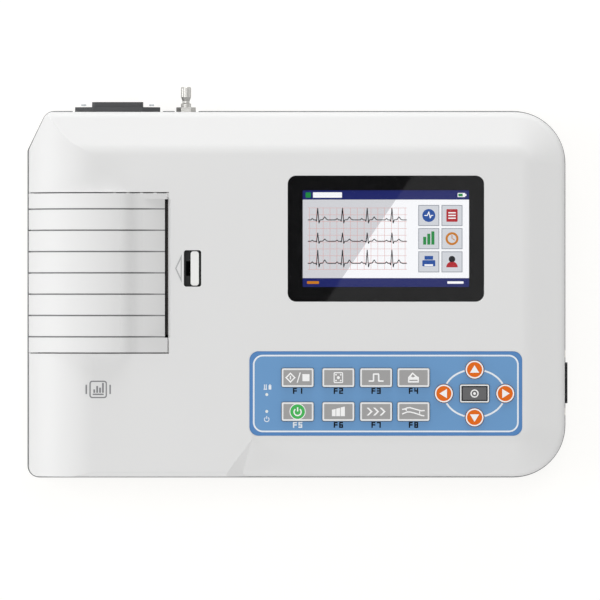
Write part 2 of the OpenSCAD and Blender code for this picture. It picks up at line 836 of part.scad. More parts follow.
module screen_window() {
    color([0.05, 0.05, 0.06, 0.5]) translate([window_x, window_y, 0])
        between(top_z - window_t, top_z) slab(window_w - 2 * 0.1, window_d - 2 * 0.1, window_r);
}

module lcd_panel() {
    color("navy") translate([window_x, window_y, 0]) {
        between(skin_z - lcd_t, skin_z) square([lcd_w, lcd_d], center = true);
    }
}

module display_bracket() {
    low = skin_z - lcd_t - bracket_t;
    color("silver") difference() {
        union() {
            translate([window_x, window_y, 0]) between(low, low + bracket_t) difference() {
                square([lcd_w + 2 * bracket_ear + 2, lcd_d], center = true);
                square([lcd_w - 20, lcd_d - 20], center = true);
            }
        }
        for (p = bracket_screws) translate([p.x, p.y, low - 1]) cylinder(h = bracket_t + 2, r = screw_r);
    }
}

// Flat cable from the display down to the main board
module display_ribbon() {
    start = window_y - lcd_d / 2;
    end_y = start - 12;
    top = skin_z - lcd_t + 1.2;
    color("tan") along_x(window_x - ribbon_w / 2, window_x + ribbon_w / 2) {
        polygon([[start, top], [start, top + ribbon_t], [end_y, top + ribbon_t], [end_y, board_z + board_t],
            [end_y + ribbon_t, board_z + board_t], [end_y + ribbon_t, top]]);
    }
}

// ----------------------------------------------------------------- keypad

function_keys = [for (y = row_y, x = col_x) [panel_x + x, panel_y + y]];
arrow_keys = [[pad_x, panel_y + arrow_span_y / 2], [pad_x, panel_y - arrow_span_y / 2],
    [pad_x - arrow_span_x / 2, panel_y], [pad_x + arrow_span_x / 2, panel_y]];
keypad_screws = [for (x = [-74, 16.2 + 17], y = [-1, 1]) [panel_x + x, panel_y + y * (panel_d / 2 - 4.6)]];
mat_reach = [flange_w + key_w / 2 + 1, flange_w + key_d / 2 + 1];

module keypad_panel() {
    color("steelblue") difference() {
        translate([panel_x, panel_y, 0]) between(top_z - panel_t, top_z) slab(panel_w - 0.2, panel_d - 0.2, panel_r);
        between(top_z - panel_t - 1, top_z + 1) {
            for (k = function_keys) translate(k) slab(key_w + 2 * gap, key_d + 2 * gap, key_r + gap);
            for (k = arrow_keys) translate(k) circle(arrow_r + gap);
            translate([pad_x, panel_y]) slab(centre_w + 2 * gap, centre_d + 2 * gap, key_r + gap);
            for (y = led_y) translate([panel_x + led_x, panel_y + y]) circle(led_r);
        }
    }
}

module indicator_lenses() {
    color("white") for (y = led_y) translate([panel_x + led_x, panel_y + y, mat_z - mat_t])
        cylinder(h = top_z - mat_z + mat_t, r = led_r);
}

// A key cap: outline, with a flange under the cover that keeps it in
module cap(reach) {
    translate([0, 0, key_foot_z]) linear_extrude(top_z + key_rise - 0.4 - key_foot_z) children(0);
    translate([0, 0, top_z + key_rise - 0.4]) linear_extrude(0.4) children(1);
    translate([0, 0, flange_z - flange_t]) linear_extrude(flange_t) children(2);
}

module function_key(i) {
    color("darkgray") translate(function_keys[i]) cap() {
        slab(key_w, key_d, key_r);
        slab(key_w - 0.5, key_d - 0.5, key_r);
        slab(key_w + 2 * flange_w, key_d + 2 * flange_w, key_r);
    }
}

module arrow_key(i) {
    color("darkorange") translate(arrow_keys[i]) cap() {
        circle(arrow_r);
        circle(arrow_r - 0.25);
        circle(arrow_r + flange_w);
    }
}

module key_centre() {
    color("dimgray") translate([pad_x, panel_y]) cap() {
        slab(centre_w, centre_d, key_r);
        slab(centre_w - 0.5, centre_d - 0.5, key_r);
        slab(centre_w + 2 * flange_w, centre_d + 2 * flange_w, key_r);
    }
}

module keypad_mat() {
    color("gainsboro") {
        difference() {
            translate([panel_x, panel_y, 0]) between(mat_z - mat_t, mat_z) square([panel_w - 8, panel_d - 4], center = true);
            for (p = keypad_screws) translate([p.x, p.y, mat_z - mat_t - 1]) cylinder(h = mat_t + 2, r = 3);
            for (y = led_y) translate([panel_x + led_x, panel_y + y, mat_z - mat_t - 1]) cylinder(h = mat_t + 2, r = led_r + gap);
        }
        for (k = concat(function_keys, arrow_keys, [[pad_x, panel_y]]))
            translate([k.x, k.y, mat_z]) cylinder(h = dome_h, r1 = 4, r2 = 2.6);
    }
}

module keypad_board() {
    color("darkgreen") difference() {
        translate([panel_x, panel_y, 0]) between(pad_board_z, pad_board_z + board_t) square([panel_w - 6, panel_d - 2], center = true);
        for (p = keypad_screws) translate([p.x, p.y, pad_board_z - 1]) cylinder(h = board_t + 2, r = screw_r);
    }
}

// ---------------------------------------------------------------- sockets

module mains_inlet() {
    color("dimgray") translate([inlet_c, 0, rear_z]) difference() {
        union() {
            along_y(rear_y, rear_y + inlet_flange_t) difference() {
                polygon([[-inlet_flange_w / 2, -7], [-inlet_w / 2 - 1, -inlet_flange_h / 2], [inlet_w / 2 + 1, -inlet_flange_h / 2],
                    [inlet_flange_w / 2, -7], [inlet_flange_w / 2, 7], [inlet_w / 2 + 1, inlet_flange_h / 2],
                    [-inlet_w / 2 - 1, inlet_flange_h / 2], [-inlet_flange_w / 2, 7]]);
                for (s = [-1, 1]) translate([s * inlet_screw, 0]) circle(screw_r);
            }
            along_y(rear_y - inlet_deep, rear_y + 0.1) square([inlet_w, inlet_h], center = true);
            along_y(rear_y, rear_y + inlet_flange_t + inlet_collar) slab(inlet_w + 3, inlet_h + 3, 2);
        }
        along_y(rear_y + inlet_flange_t + inlet_collar - inlet_bore_deep, rear_y + 20) polygon([
            [-inlet_bore_w / 2, inlet_bore_h / 2], [-inlet_bore_w / 2, -inlet_bore_h / 2 + 4], [-inlet_bore_w / 2 + 4, -inlet_bore_h / 2],
            [inlet_bore_w / 2 - 4, -inlet_bore_h / 2], [inlet_bore_w / 2, -inlet_bore_h / 2 + 4], [inlet_bore_w / 2, inlet_bore_h / 2]]);
        for (p = inlet_blades) translate([p.x, 0, p.y]) box([-2.05, -far, -1.05], [2.05, far, 1.05]);
    }
}

inlet_blades = [[-7, -2], [7, -2], [0, 2]];

module inlet_pins() {
    root = rear_y - inlet_deep;
    tip = rear_y + inlet_flange_t + inlet_collar - 5.5;
    color("silver") for (p = inlet_blades) translate([inlet_c + p.x, 0, rear_z + p.y])
        box([-2, root - 4, -1], [2, tip, 1]);
}

// Potential-equalisation stud: a plain post with a waist, threaded into the case
module earth_stud() {
    color("silver") translate([stud_c, rear_y, rear_z]) rotate([-90, 0, 0]) rotate_extrude() polygon([
        [0, -12], [earth_r - 0.3, -12], [earth_r, -11.7], [earth_r, 5], [earth_r - 0.9, 5.6],
        [earth_r - 0.9, 6.6], [earth_r, 9], [earth_r, earth_l - 0.5], [earth_r - 0.5, earth_l], [0, earth_l]]);
}

module earth_nut() {
    color("silver") translate([stud_c, 0, rear_z]) {
        for (y = [rear_y, rear_y - wall - 3]) difference() {
            translate([0, y + 3, 0]) rotate([90, 0, 0]) cylinder(h = 3, r = 5.75, $fn = 6);
            rod_y(y - 1, y + 4, earth_r);
        }
    }
}

// D-shaped socket outline in the YZ plane, wider at the top
module lead_outline(o) {
    w = lead_shell_w / 2 + o;
    h = lead_shell_h / 2 + o;
    polygon(rounded([[-w, h, 2], [w, h, 2], [w - 1.6, -h, 2], [-w + 1.6, -h, 2]], 4));
}

module lead_socket_shell() {
    back = right_x - wall - lead_pad;
    color("silver") translate([0, lead_y, side_z]) difference() {
        union() {
            along_x(back - lead_flange_t, back) slab(lead_flange_w, lead_flange_h, 1);
            along_x(back - 0.1, back + lead_reach) lead_outline(0);
        }
        along_x(back - lead_flange_t - 1, back + lead_reach + 1) lead_outline(-0.5);
        for (s = [-1, 1]) translate([0, s * lead_screw_span / 2, 0])
            rod_x(back - lead_flange_t - 1, back + 1, screw_r);
    }
}

lead_pins = [for (i = [0 : 7]) [2.76 * (i - 3.5), 1.42], for (i = [0 : 6]) [2.76 * (i - 3), -1.42]];

module lead_socket_insert() {
    back = right_x - wall - lead_pad;
    foot = board_z + board_t - side_z;
    color("black") translate([0, lead_y, side_z]) difference() {
        union() {
            along_x(back - lead_flange_t, back + lead_reach - 0.4) lead_outline(-0.5);
            box([back - 12, -lead_foot_w / 2, foot], [back - lead_flange_t, lead_foot_w / 2, lead_shell_h / 2 + 1]);
        }
        for (p = lead_pins) translate([0, p.x, p.y]) rod_x(back + lead_reach - 5, back + lead_reach + 1, 0.55);
    }
}

// Hexagonal posts that take the lead plug's screws
module lead_screw_posts() {
    back = right_x - wall - lead_pad;
    color("silver") for (s = [-1, 1]) translate([0, lead_y + s * lead_screw_span / 2, side_z]) difference() {
        union() {
            translate([back, 0, 0]) rotate([0, 90, 0]) cylinder(h = right_x + post_out - back, r = post_af / 2 / cos(30), $fn = 6);
            rod_x(back - lead_flange_t - 3, back + 0.1, screw_r);
        }
        rod_x(right_x + post_out - 5, right_x + post_out + 1, post_thread_r);
    }
}

module usb_socket() {
    tongue = 1.8;
    color("silver") translate([0, usb_y, side_z]) {
        difference() {
            box([right_x - 15, -usb_w / 2, -usb_h / 2], [right_x - 0.4, usb_w / 2, usb_h / 2]);
            box([right_x - 11, -usb_w / 2 + 0.4, -usb_h / 2 + 0.4], [right_x, usb_w / 2 - 0.4, usb_h / 2 - 0.4]);
        }
        box([right_x - 12, -usb_w / 2 + 1, 0.4], [right_x - 1.5, usb_w / 2 - 1, 0.4 + tongue]);
        box([right_x - 14, -usb_w / 2 + 1, board_z + board_t - side_z], [right_x - 6, usb_w / 2 - 1, -usb_h / 2 + 0.1]);
    }
}

// ----------------------------------------------------------------- boards

module main_board() {
    color("green") difference() {
        box([main_left, -main_d / 2, board_z], [right_x - main_right, main_d / 2, board_z + board_t]);
        for (p = main_posts) translate([p.x, p.y, board_z - 1]) cylinder(h = board_t + 2, r = screw_r);
        // room for the paper sensor lead and the battery plug
        box([main_left - 1, 30, board_z - 1], [main_left + 8, 50, board_z + board_t + 1]);
    }
}

// [x, y, width, depth, height] of each chip, from the board's left edge and middle
chips = [[28, -20, 20, 20, 1.6], [60, 30, 24, 24, 2], [78, -12, 12, 18, 1.2], [95, 10, 18, 12, 2.5],
    [95, 40, 12, 12, 6], [120, 45, 10, 10, 8], [28, 20, 16, 10, 3], [120, -60, 12, 20, 2]];

module main_board_chips() {
    color("#222222") for (c = chips) translate([main_left + c[0], c[1], board_z + board_t])
        linear_extrude(c[4]) square([c[2], c[3]], center = true);
}

module power_board() {
    color("darkgreen") difference() {
        box([power_x, power_y, power_z], [power_x + power_w, power_y + power_d, power_z + board_t]);
        for (p = power_posts) translate([p.x, p.y, power_z - 1]) cylinder(h = board_t + 2, r = screw_r);
    }
}

module power_board_parts() {
    z = power_z + board_t;
    color("goldenrod") {
        translate([power_x + power_w - coil_w - 2, power_y + coil_d / 2 + 2.5, z]) linear_extrude(coil_h) square([coil_w, coil_d], center = true);
        for (i = [0, 1]) translate([power_x + power_w / 4 + 1.5 + (2 * can_r + 3) * i, power_y + can_r + 0.5, z]) cylinder(h = can_h, r = can_r);
        translate([power_x + power_w / 2 + 3, power_y + 7, z]) linear_extrude(can_h * 2 / 3) square([can_r - 0.5, 2 * can_r + 1], center = true);
    }
}

module speaker() {
    color("#303030") translate([speaker_at.x, speaker_at.y, floor_z]) {
        cylinder(h = 2.6, r = 14);
        translate([0, 0, 2.6]) cylinder(h = 2.4, r = 7.5);
    }
}

// -------------------------------------------------------------- paper door

// Everything under the door's outside, at an inset of o
module door_form(o) {
    back = o * tan(bulge_slope / 2);
    intersection() {
        translate(roll_c) circle(roll_r - o);
        translate(roll_c) rotate(bulge_turn) translate([-far, 0]) square([2 * far, far]);
    }
    intersection() {
        translate(bulge_c) circle(bulge_r - o);
        translate(roll_c) rotate(bulge_turn) translate([-far, -far]) square([2 * far, far]);
        translate([-far, -far]) square([far + bulge_x - back, 2 * far]);
    }
    polygon(rounded([
        [bulge_x - 12, top_z - 20, 0],
        [bulge_x - 12, bulge_z - o, 0],
        [bulge_x - back, bulge_z - o, 2],
        [bulge_x + bulge_run - back, top_z - o, 5],
        [door_right - o, top_z - o, inner(0.6, o)],
        [door_right - o, top_z - 20, 0]]));
}

// The part of that form that the door's skin and ribs keep
module door_keep() polygon([
    [left_x - 1, hinge.y], [hinge.x + 4, hinge.y], [bulge_x - 6, top_z - door_lip],
    [door_right + 1, top_z - door_lip], [door_right + 1, top_z + 20], [left_x - 1, top_z + 20]]);

module door_layer(from, to) {
    intersection() {
        difference() {
            door_form(from);
            door_form(to);
        }
        door_keep();
    }
}

// A plate that carries one end of the platen, with the cam face on its right
module platen_lug() {
    difference() {
        union() {
            translate(platen) circle(4.2);
            polygon([[platen.x - 4.2, platen.y], [platen.x - 4.2, top_z - door_t + 0.4], [cam_x + cam_run, top_z - door_t + 0.4],
                [cam_x + cam_run, cam_z + 4.5], [cam_x, cam_z], [cam_x, platen.y]]);
        }
        translate(platen) circle(bush_r);
    }
}

module paper_door() {
    color("whitesmoke") difference() {
        union() {
            along_y(door_front, door_rear) door_layer(0, door_t);
            for (y = [door_front, door_rear - lug_t]) along_y(y, y + lug_t) door_layer(0.5, door_t + rib_d);
            for (i = [-1 : 1]) along_y(print_y + 22 * i, print_y + 22 * i + rib_t) door_layer(door_t - 0.2, door_t + rib_d / 2);
            along_y(door_front, door_rear) translate(hinge) circle(barrel_r);
            along_y(door_rear - lug_t, door_rear) platen_lug();
            along_y(lug_front - lug_t, lug_front) platen_lug();
            box([ramp_x, print_y - slot_l / 2, top_z - door_t - ramp_d + 0.6], [door_right - slot_gap + 0.1, print_y + slot_l / 2, top_z - door_t + 0.1]);
        }
        for (i = [0 : groove_count - 1]) {
            y = door_y + (i - (groove_count - 1) / 2) * groove_pitch;
            along_y(y - groove_w / 2, y + groove_w / 2) door_layer(-1, groove_d);
        }
        along_y(print_y - slot_l / 2, print_y + slot_l / 2) polygon([
            [ramp_x, top_z], [door_right - slot_gap + 1, top_z - ramp_d * (1 + 1 / ramp_run)],
            [door_right - slot_gap + 1, top_z + 1], [ramp_x, top_z + 1]]);
        box([door_right - slot_gap, print_y - slot_l / 2, 0], [door_right + 1, print_y + slot_l / 2, far]);
        translate([hinge.x, 0, hinge.y]) rod_y(door_front - 1, door_rear + 1, hinge_pin_r + run_gap);
    }
}

module hinge_pin() {
    color("silver") translate([hinge.x, 0, hinge.y]) rod_y(door_front - gap - ear_l, door_rear + gap + ear_l, hinge_pin_r);
}

// -------------------------------------------------------------- paper tub

module tub_trough(r) {
    translate(tub_c) circle(r);
    translate([tub_c.x - r, tub_c.y]) square([2 * r, far]);
}

module paper_tub() {
    rim_front = door_front - gap + 0.2;
    rim_rear = door_rear + gap - 0.2;
    color("lightgray") difference() {
        union() {
            along_y(tub_front - tub_t, tub_rear + tub_t) intersection() {
                tub_trough(tub_r + tub_t);
                door_form(tub_gap);
            }
            along_y(rim_front, rim_rear) intersection() {
                difference() {
                    door_form(tub_gap);
                    door_form(tub_gap + 1.5);
                }
                translate([tub_c.x - tub_r - tub_t, tub_c.y]) square([2 * (tub_r + tub_t), far]);
            }
        }
        along_y(tub_front, tub_rear) tub_trough(tub_r);
        // drop-in slots for the spindle
        along_y(tub_front - tub_t - 1, tub_rear + tub_t + 1) translate(tub_c) {
            circle(journal_r + run_gap * 2);
            translate([-journal_r - run_gap * 2, 0]) square([2 * (journal_r + run_gap * 2), far]);
        }
    }
}

module paper_spindle() {
    color("ivory") translate([tub_c.x, 0, tub_c.y]) {
        difference() {
            rod_y(tub_front + gap, tub_rear - gap, spindle_r);
            // grip flutes
            for (a = [0 : 60 : 300]) rotate([0, a, 0]) translate([spindle_r + 0.6, 0, 0]) rod_y(tub_front + 4, tub_rear - 4, 1.4);
        }
        rod_y(tub_front - tub_t, tub_rear + tub_t, journal_r);
    }
}

// ---------------------------------------------------------------- printer

function involute(r, base) = r <= base ? 0 : let (a = acos(base / r)) tan(a) * 180 / PI - a;

// A spur gear outline with its first tooth on +X
module gear_outline(teeth) {
    r = pitch_r(teeth);
    base = r * cos(pressure);
    half = 90 / teeth - backlash / 2 / r * 180 / PI / 2;
    radii = [r - dedendum * gear_m, max(base, r - dedendum * gear_m + 0.02), r, r + addendum * gear_m];
    polygon([for (i = [0 : teeth - 1]) each let (c = 360 * i / teeth)
        concat(
            [for (k = [0 : 3]) let (a = c - half - involute(r, base) + involute(radii[k], base)) radii[k] * [cos(a), sin(a)]],
            [for (k = [3 : -1 : 0]) let (a = c + half + involute(r, base) - involute(radii[k], base)) radii[k] * [cos(a), sin(a)]])]);
}

// A gear on an axis along Y. A tooth, or a gap if between_teeth, faces the given direction.
module gear(centre, rear_face, teeth, facing, between_teeth = false) {
    along_y(rear_face - gear_t, rear_face) translate(centre)
        rotate(facing + (between_teeth ? 180 / teeth : 0)) gear_outline(teeth);
}

module platen_roller() {
    color("#2b2b2b") translate([platen.x, 0, platen.y]) difference() {
        rod_y(print_y - platen_l / 2, print_y + platen_l / 2, platen_r);
        rod_y(print_y - far, print_y + far, shaft_r);
    }
}

module platen_shaft() {
    color("silver") translate([platen.x, 0, platen.y]) rod_y(gear_a - gear_t, door_rear - 0.2, shaft_r);
}

module platen_gear() {
    color("ivory") difference() {
        gear(platen, gear_a, platen_teeth, idler_turn);
        translate([platen.x, 0, platen.y]) rod_y(gear_a - far, gear_a + 1, shaft_r);
    }
}

module platen_bushes() {
    color("goldenrod") translate([platen.x, 0, platen.y]) difference() {
        union() {
            rod_y(lug_front - lug_t, frame_front - 0.1, bush_r);
            rod_y(frame_rear + 0.1, door_rear, bush_r);
        }
        rod_y(-far, far, shaft_r + run_gap);
    }
}

module idler_gear() {
    color("ivory") difference() {
        union() {
            gear(idler, gear_a, idler_small_teeth, idler_turn + 180, true);
            gear(idler, gear_b, idler_large_teeth, motor_turn);
            translate([idler.x, 0, idler.y]) rod_y(gear_b - 0.1, gear_a - gear_t + 0.1, pitch_r(idler_small_teeth) - 1);
        }
        translate([idler.x, 0, idler.y]) rod_y(-far, far, stud_r + run_gap);
    }
}

module motor_pinion() {
    color("goldenrod") {
        gear(motor, gear_b, pinion_teeth, motor_turn + 180, true);
        translate([motor.x, 0, motor.y]) rod_y(gear_b - gear_t, frame_front + 1 + motor_l - 4, motor_shaft_r);
    }
}

module stepper_motor() {
    color("silver") translate([motor.x, 0, motor.y]) difference() {
        union() {
            rod_y(frame_front, frame_front + motor_l, motor_r);
            rod_y(frame_front - frame_t - 0.2, frame_front + 0.1, 3);
        }
        rod_y(-far, frame_front + motor_l - 2, motor_shaft_r + run_gap);
    }
}

// The frame's side plate, with the open slot that the platen's bush drops into
module side_plate() {
    difference() {
        polygon([[frame_left, frame_foot], [frame_left, frame_top - 5], [frame_left + 2, frame_top], [frame_back, frame_top], [frame_back, frame_foot]]);
        translate(platen) {
            circle(bush_r + 0.1);
            polygon([[-bush_r - 0.1, 0], [bush_r + 0.1, 0], [bush_r + 1, far], [-bush_r - 6, far], [-bush_r - 2.4, 5]]);
        }
    }
}

module printer_frame() {
    color("silver") difference() {
        union() {
            along_y(frame_front - frame_t, frame_front) side_plate();
            along_y(frame_rear, frame_rear + frame_t) side_plate();
            box([frame_back - frame_t, frame_front - frame_t, frame_foot], [frame_back, frame_rear + frame_t, ledge_z]);
            box([frame_back - frame_t, frame_front - frame_t, ledge_z - frame_t], [bar_right + 1, frame_rear + frame_t, ledge_z]);
            box([frame_left, frame_front - frame_t, frame_foot], [frame_back, frame_rear + frame_t, frame_foot + frame_t]);
            translate([idler.x, 0, idler.y]) {
                rod_y(gear_b - gear_t - 0.8, frame_front, stud_r);
                rod_y(gear_a + 0.1, frame_front, stud_r + 1.5);
            }
        }
        translate([motor.x, 0, motor.y]) rod_y(frame_front - frame_t - 1, frame_front + 1, 3);
        translate([head_pivot.x, 0, head_pivot.y]) rod_y(frame_front - far, frame_rear + far, head_pivot_r);
        // the board lead and lightening window in the back wall
        box([frame_back - frame_t - 1, print_y - 14, frame_foot + 6], [frame_back + 1, print_y + 22, spring_z - 8]);
        for (p = frame_posts) translate([p.x, p.y, frame_foot - 1]) cylinder(h = frame_t + 2, r = screw_r);
    }
}

module print_head() {
    color("ivory") box([sink_x - head_t, print_y - head_l / 2 + 0.5, head_top - 13], [sink_x, print_y + head_l / 2 - 0.5, head_top]);
}

module head_heatsink() {
    color("silver") difference() {
        union() {
            box([sink_x, print_y - head_l / 2, head_pivot.y], [sink_x + sink_t, print_y + head_l / 2, head_top]);
            translate([head_pivot.x, 0, head_pivot.y]) rod_y(print_y - head_l / 2, print_y + head_l / 2, head_pivot_r + 1.2);
        }
        translate([head_pivot.x, 0, head_pivot.y]) rod_y(-far, far, head_pivot_r + run_gap);
        // cooling grooves on the back
        for (z = [head_pivot.y + 5, head_top - 4]) box([sink_x + sink_t - 1, -far, z], [sink_x + sink_t + 1, far, z + 1]);
    }
}

module head_pivot_pin() {
    color("silver") translate([head_pivot.x, 0, head_pivot.y]) rod_y(frame_front - frame_t, frame_rear + frame_t, head_pivot_r);
}

module head_springs() {
    length = frame_back - frame_t - sink_x - sink_t;
    color("silver") for (s = [-1, 1]) translate([sink_x + sink_t, print_y + s * spring_spread, spring_z])
        rotate([0, 90, 0]) coil_spring(spring_r, spring_wire / 2, 5, length);
}

// ---------------------------------------------------------- release slide

module release_recess() {
    color("black") translate([recess_x, print_y, 0]) difference() {
        between(skin_z - recess_floor, top_z) slab(recess_w, recess_l, 1.5);
        between(skin_z, top_z + 1) slab(recess_w - 2 * recess_t, recess_l - 2 * recess_t, 1.1);
        translate([slide_x - recess_x - slide_travel / 2, 0, 0]) between(skin_z - 2, top_z) square([3 + slide_travel + 2 * gap, 8 + 2 * gap], center = true);
    }
}

module release_slide() {
    arm_front = [lug_front - lug_t + 0.1, lug_front - 0.1];
    arm_rear = [door_rear - lug_t + 0.1, door_rear - 0.1];
    color("white") {
        translate([slide_x, print_y, 0]) {
            between(skin_z + 0.2, top_z - 0.2) slab(slide_w, slide_l, 1.6);
            between(slide_z + bar_t - 0.1, skin_z + 0.3) square([3, 8], center = true);
        }
        box([bar_left, arm_front[0], slide_z], [bar_right, arm_rear[1], slide_z + bar_t]);
        for (a = [arm_front, arm_rear]) {
            box([finger_x + cam_run + 2 * gap, a[0], slide_z], [bar_left + 1, a[1], slide_z + bar_t]);
            along_y(a[0], a[1]) polygon([[finger_x, cam_z], [finger_x + cam_run, cam_z + 4.5], [finger_x + cam_run + 2 * gap, slide_z + 0.1],
                [finger_x + 5, slide_z + 0.1], [finger_x + 3.5, cam_z]]);
        }
    }
}

module release_spring() {
    color("silver") translate([bar_left - 5.6, print_y + post_y, slide_z + 0.2 + return_r + return_wire])
        rotate([0, 90, 0]) coil_spring(return_r, return_wire / 2, 6, 5.6);
}

// ----------------------------------------------------------- small screws

module m3_screws() {
    color("silver") {
        for (p = main_posts) translate([p.x, p.y, board_z + board_t]) screw(8);
        for (p = frame_posts) translate([p.x, p.y, frame_foot + frame_t]) screw(8);
        for (p = power_posts) translate([p.x, p.y, power_z + board_t]) screw(6);
        for (s = [-1, 1]) translate([inlet_c + s * inlet_screw, rear_y + inlet_flange_t, rear_z])
            rotate([-90, 0, 0]) screw(8);
    }
}

// --------------------------------------------------------------- assembly

module part(name) {
    translate([-origin_x, -origin_y, 0]) children();
}

part("top_cover") top_cover();
part("bottom_cover") bottom_cover();
part("rubber_feet") rubber_feet();
part("case_screws") case_screws();
part("m3_screws") m3_screws();
part("battery_cover") battery_cover();
part("battery_pack") battery_pack();
part("screen_window") screen_window();
part("lcd_panel") lcd_panel();
part("display_bracket") display_bracket();
part("display_ribbon") display_ribbon();
part("keypad_panel") keypad_panel();
part("indicator_lenses") indicator_lenses();
part("keypad_mat") keypad_mat();
part("keypad_board") keypad_board();
part("key_start") function_key(0);
part("key_mode") function_key(1);
part("key_calibrate") function_key(2);
part("key_print") function_key(3);
part("key_power") function_key(4);
part("key_gain") function_key(5);
part("key_speed") function_key(6);
part("key_filter") function_key(7);
part("key_up") arrow_key(0);
part("key_down") arrow_key(1);
part("key_left") arrow_key(2);
part("key_right") arrow_key(3);
part("key_centre") key_centre();
part("main_board") main_board();
part("main_board_chips") main_board_chips();
part("power_board") power_board();
part("power_board_parts") power_board_parts();
part("speaker") speaker();
part("mains_inlet") mains_inlet();
part("inlet_pins") inlet_pins();
part("earth_stud") earth_stud();
part("earth_nut") earth_nut();
part("lead_socket_shell") lead_socket_shell();
part("lead_socket_insert") lead_socket_insert();
part("lead_screw_posts") lead_screw_posts();
part("usb_socket") usb_socket();
part("paper_tub") paper_tub();
part("paper_spindle") paper_spindle();
part("paper_door") paper_door();
part("hinge_pin") hinge_pin();
part("platen_roller") platen_roller();
part("platen_shaft") platen_shaft();
part("platen_gear") platen_gear();
part("platen_bushes") platen_bushes();
part("idler_gear") idler_gear();
part("motor_pinion") motor_pinion();
part("stepper_motor") stepper_motor();
part("printer_frame") printer_frame();
part("print_head") print_head();
part("head_heatsink") head_heatsink();
part("head_pivot_pin") head_pivot_pin();
part("head_springs") head_springs();
part("release_slide") release_slide();
part("release_recess") release_recess();
part("release_spring") release_spring();
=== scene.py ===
import math

import bmesh
import bpy
from mathutils import Matrix, Vector
from mathutils.geometry import convex_hull_2d


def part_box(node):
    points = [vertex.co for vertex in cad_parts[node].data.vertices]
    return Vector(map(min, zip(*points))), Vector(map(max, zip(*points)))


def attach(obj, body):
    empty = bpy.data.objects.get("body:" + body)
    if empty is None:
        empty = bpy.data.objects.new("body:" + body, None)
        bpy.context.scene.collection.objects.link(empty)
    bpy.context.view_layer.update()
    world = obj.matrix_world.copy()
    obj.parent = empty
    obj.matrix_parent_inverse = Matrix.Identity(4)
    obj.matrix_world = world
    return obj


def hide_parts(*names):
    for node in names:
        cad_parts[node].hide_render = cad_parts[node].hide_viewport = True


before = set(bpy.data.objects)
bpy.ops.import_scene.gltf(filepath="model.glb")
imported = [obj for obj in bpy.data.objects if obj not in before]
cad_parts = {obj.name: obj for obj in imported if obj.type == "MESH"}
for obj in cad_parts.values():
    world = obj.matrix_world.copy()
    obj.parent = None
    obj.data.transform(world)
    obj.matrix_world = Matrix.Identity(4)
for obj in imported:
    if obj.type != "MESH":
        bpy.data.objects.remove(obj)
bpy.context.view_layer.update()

# Camera. It looks straight down on the machine from far away, with a long lens,
# so that the case keeps almost no perspective.
MM = 0.001
CASE_TOP = 72
CAMERA_Z = 9.0
CAMERA_SHIFT = (2.1 * MM, -3.4 * MM)
case_low, case_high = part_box("top_cover")
case_x = (case_low.x + case_high.x) / 2
case_y = (case_low.y + case_high.y) / 2
top_z = CASE_TOP * MM

view = bpy.data.cameras.new("camera")
view.lens = 914
view.sensor_width = 36
view.clip_end = 20
camera = bpy.data.objects.new("camera", view)
camera.location = (case_x + CAMERA_SHIFT[0], case_y + CAMERA_SHIFT[1], CAMERA_Z)
bpy.context.scene.collection.objects.link(camera)
bpy.context.scene.camera = camera


# Floor, backdrop and lights. A pale studio sweep with a dim sky, soft boxes low on all
# four sides and two more high above, and two cards that only reflections show.
def linear(hex_colour):
    """An sRGB hex colour as the linear RGBA that a shader socket takes."""
    levels = [int(hex_colour[i:i + 2], 16) / 255 for i in (1, 3, 5)]
    return tuple(v / 12.92 if v <= 0.04045 else ((v + 0.055) / 1.055) ** 2.4 for v in levels) + (1.0,)


def add(tree, kind, settings=None, **inputs):
    """Adds a node; an input that is a socket is linked, anything else is its value."""
    made = tree.nodes.new(kind)
    for key, value in (settings or {}).items():
        setattr(made, key, value)
    for key, value in inputs.items():
        socket = made.inputs[int(key[1:])] if key[1:].isdigit() else made.inputs[key.replace("_", " ")]
        if isinstance(value, bpy.types.NodeSocket):
            tree.links.new(value, socket)
        else:
            socket.default_value = value
    return made


def material(name):
    """A new node material, its tree and its output node."""
    made = bpy.data.materials.new(name)
    made.use_nodes = True
    made.node_tree.nodes.clear()
    return made, made.node_tree, made.node_tree.nodes.new("ShaderNodeOutputMaterial")


def seen_or_mirrored(tree):
    """1 for a ray from the camera or passed on by gloss or glass, and 0 for any other."""
    rays = add(tree, "ShaderNodeLightPath").outputs
    both = add(tree, "ShaderNodeMath", {"operation": "ADD"},
               _0=rays["Is Camera Ray"], _1=rays["Is Glossy Ray"])
    return add(tree, "ShaderNodeMath", {"operation": "ADD", "use_clamp": True},
               _0=both.outputs[0], _1=rays["Is Transmission Ray"]).outputs[0]


scene = bpy.context.scene
FLOOR_HALF = 6.0
FLOOR_GLOW = 0.80
corners = [(case_x + x * FLOOR_HALF, case_y + y * FLOOR_HALF, 0)
           for x, y in ((-1, -1), (1, -1), (1, 1), (-1, 1))]
floor_mesh = bpy.data.meshes.new("floor")
floor_mesh.from_pydata(corners, [], [(0, 1, 2, 3)])
floor = bpy.data.objects.new("floor", floor_mesh)
scene.collection.objects.link(floor)
paper_sweep, tree, out = material("studio sweep paper")
lift = add(tree, "ShaderNodeMath", {"operation": "MULTIPLY"}, _0=seen_or_mirrored(tree), _1=FLOOR_GLOW)
body = add(tree, "ShaderNodeBsdfPrincipled", Base_Color=linear("#8E8E8D"), Roughness=0.9,
           Specular_IOR_Level=0.1, Emission_Color=linear("#FFFEFC"), Emission_Strength=lift.outputs[0])
tree.links.new(body.outputs[0], out.inputs[0])
floor_mesh.materials.append(paper_sweep)

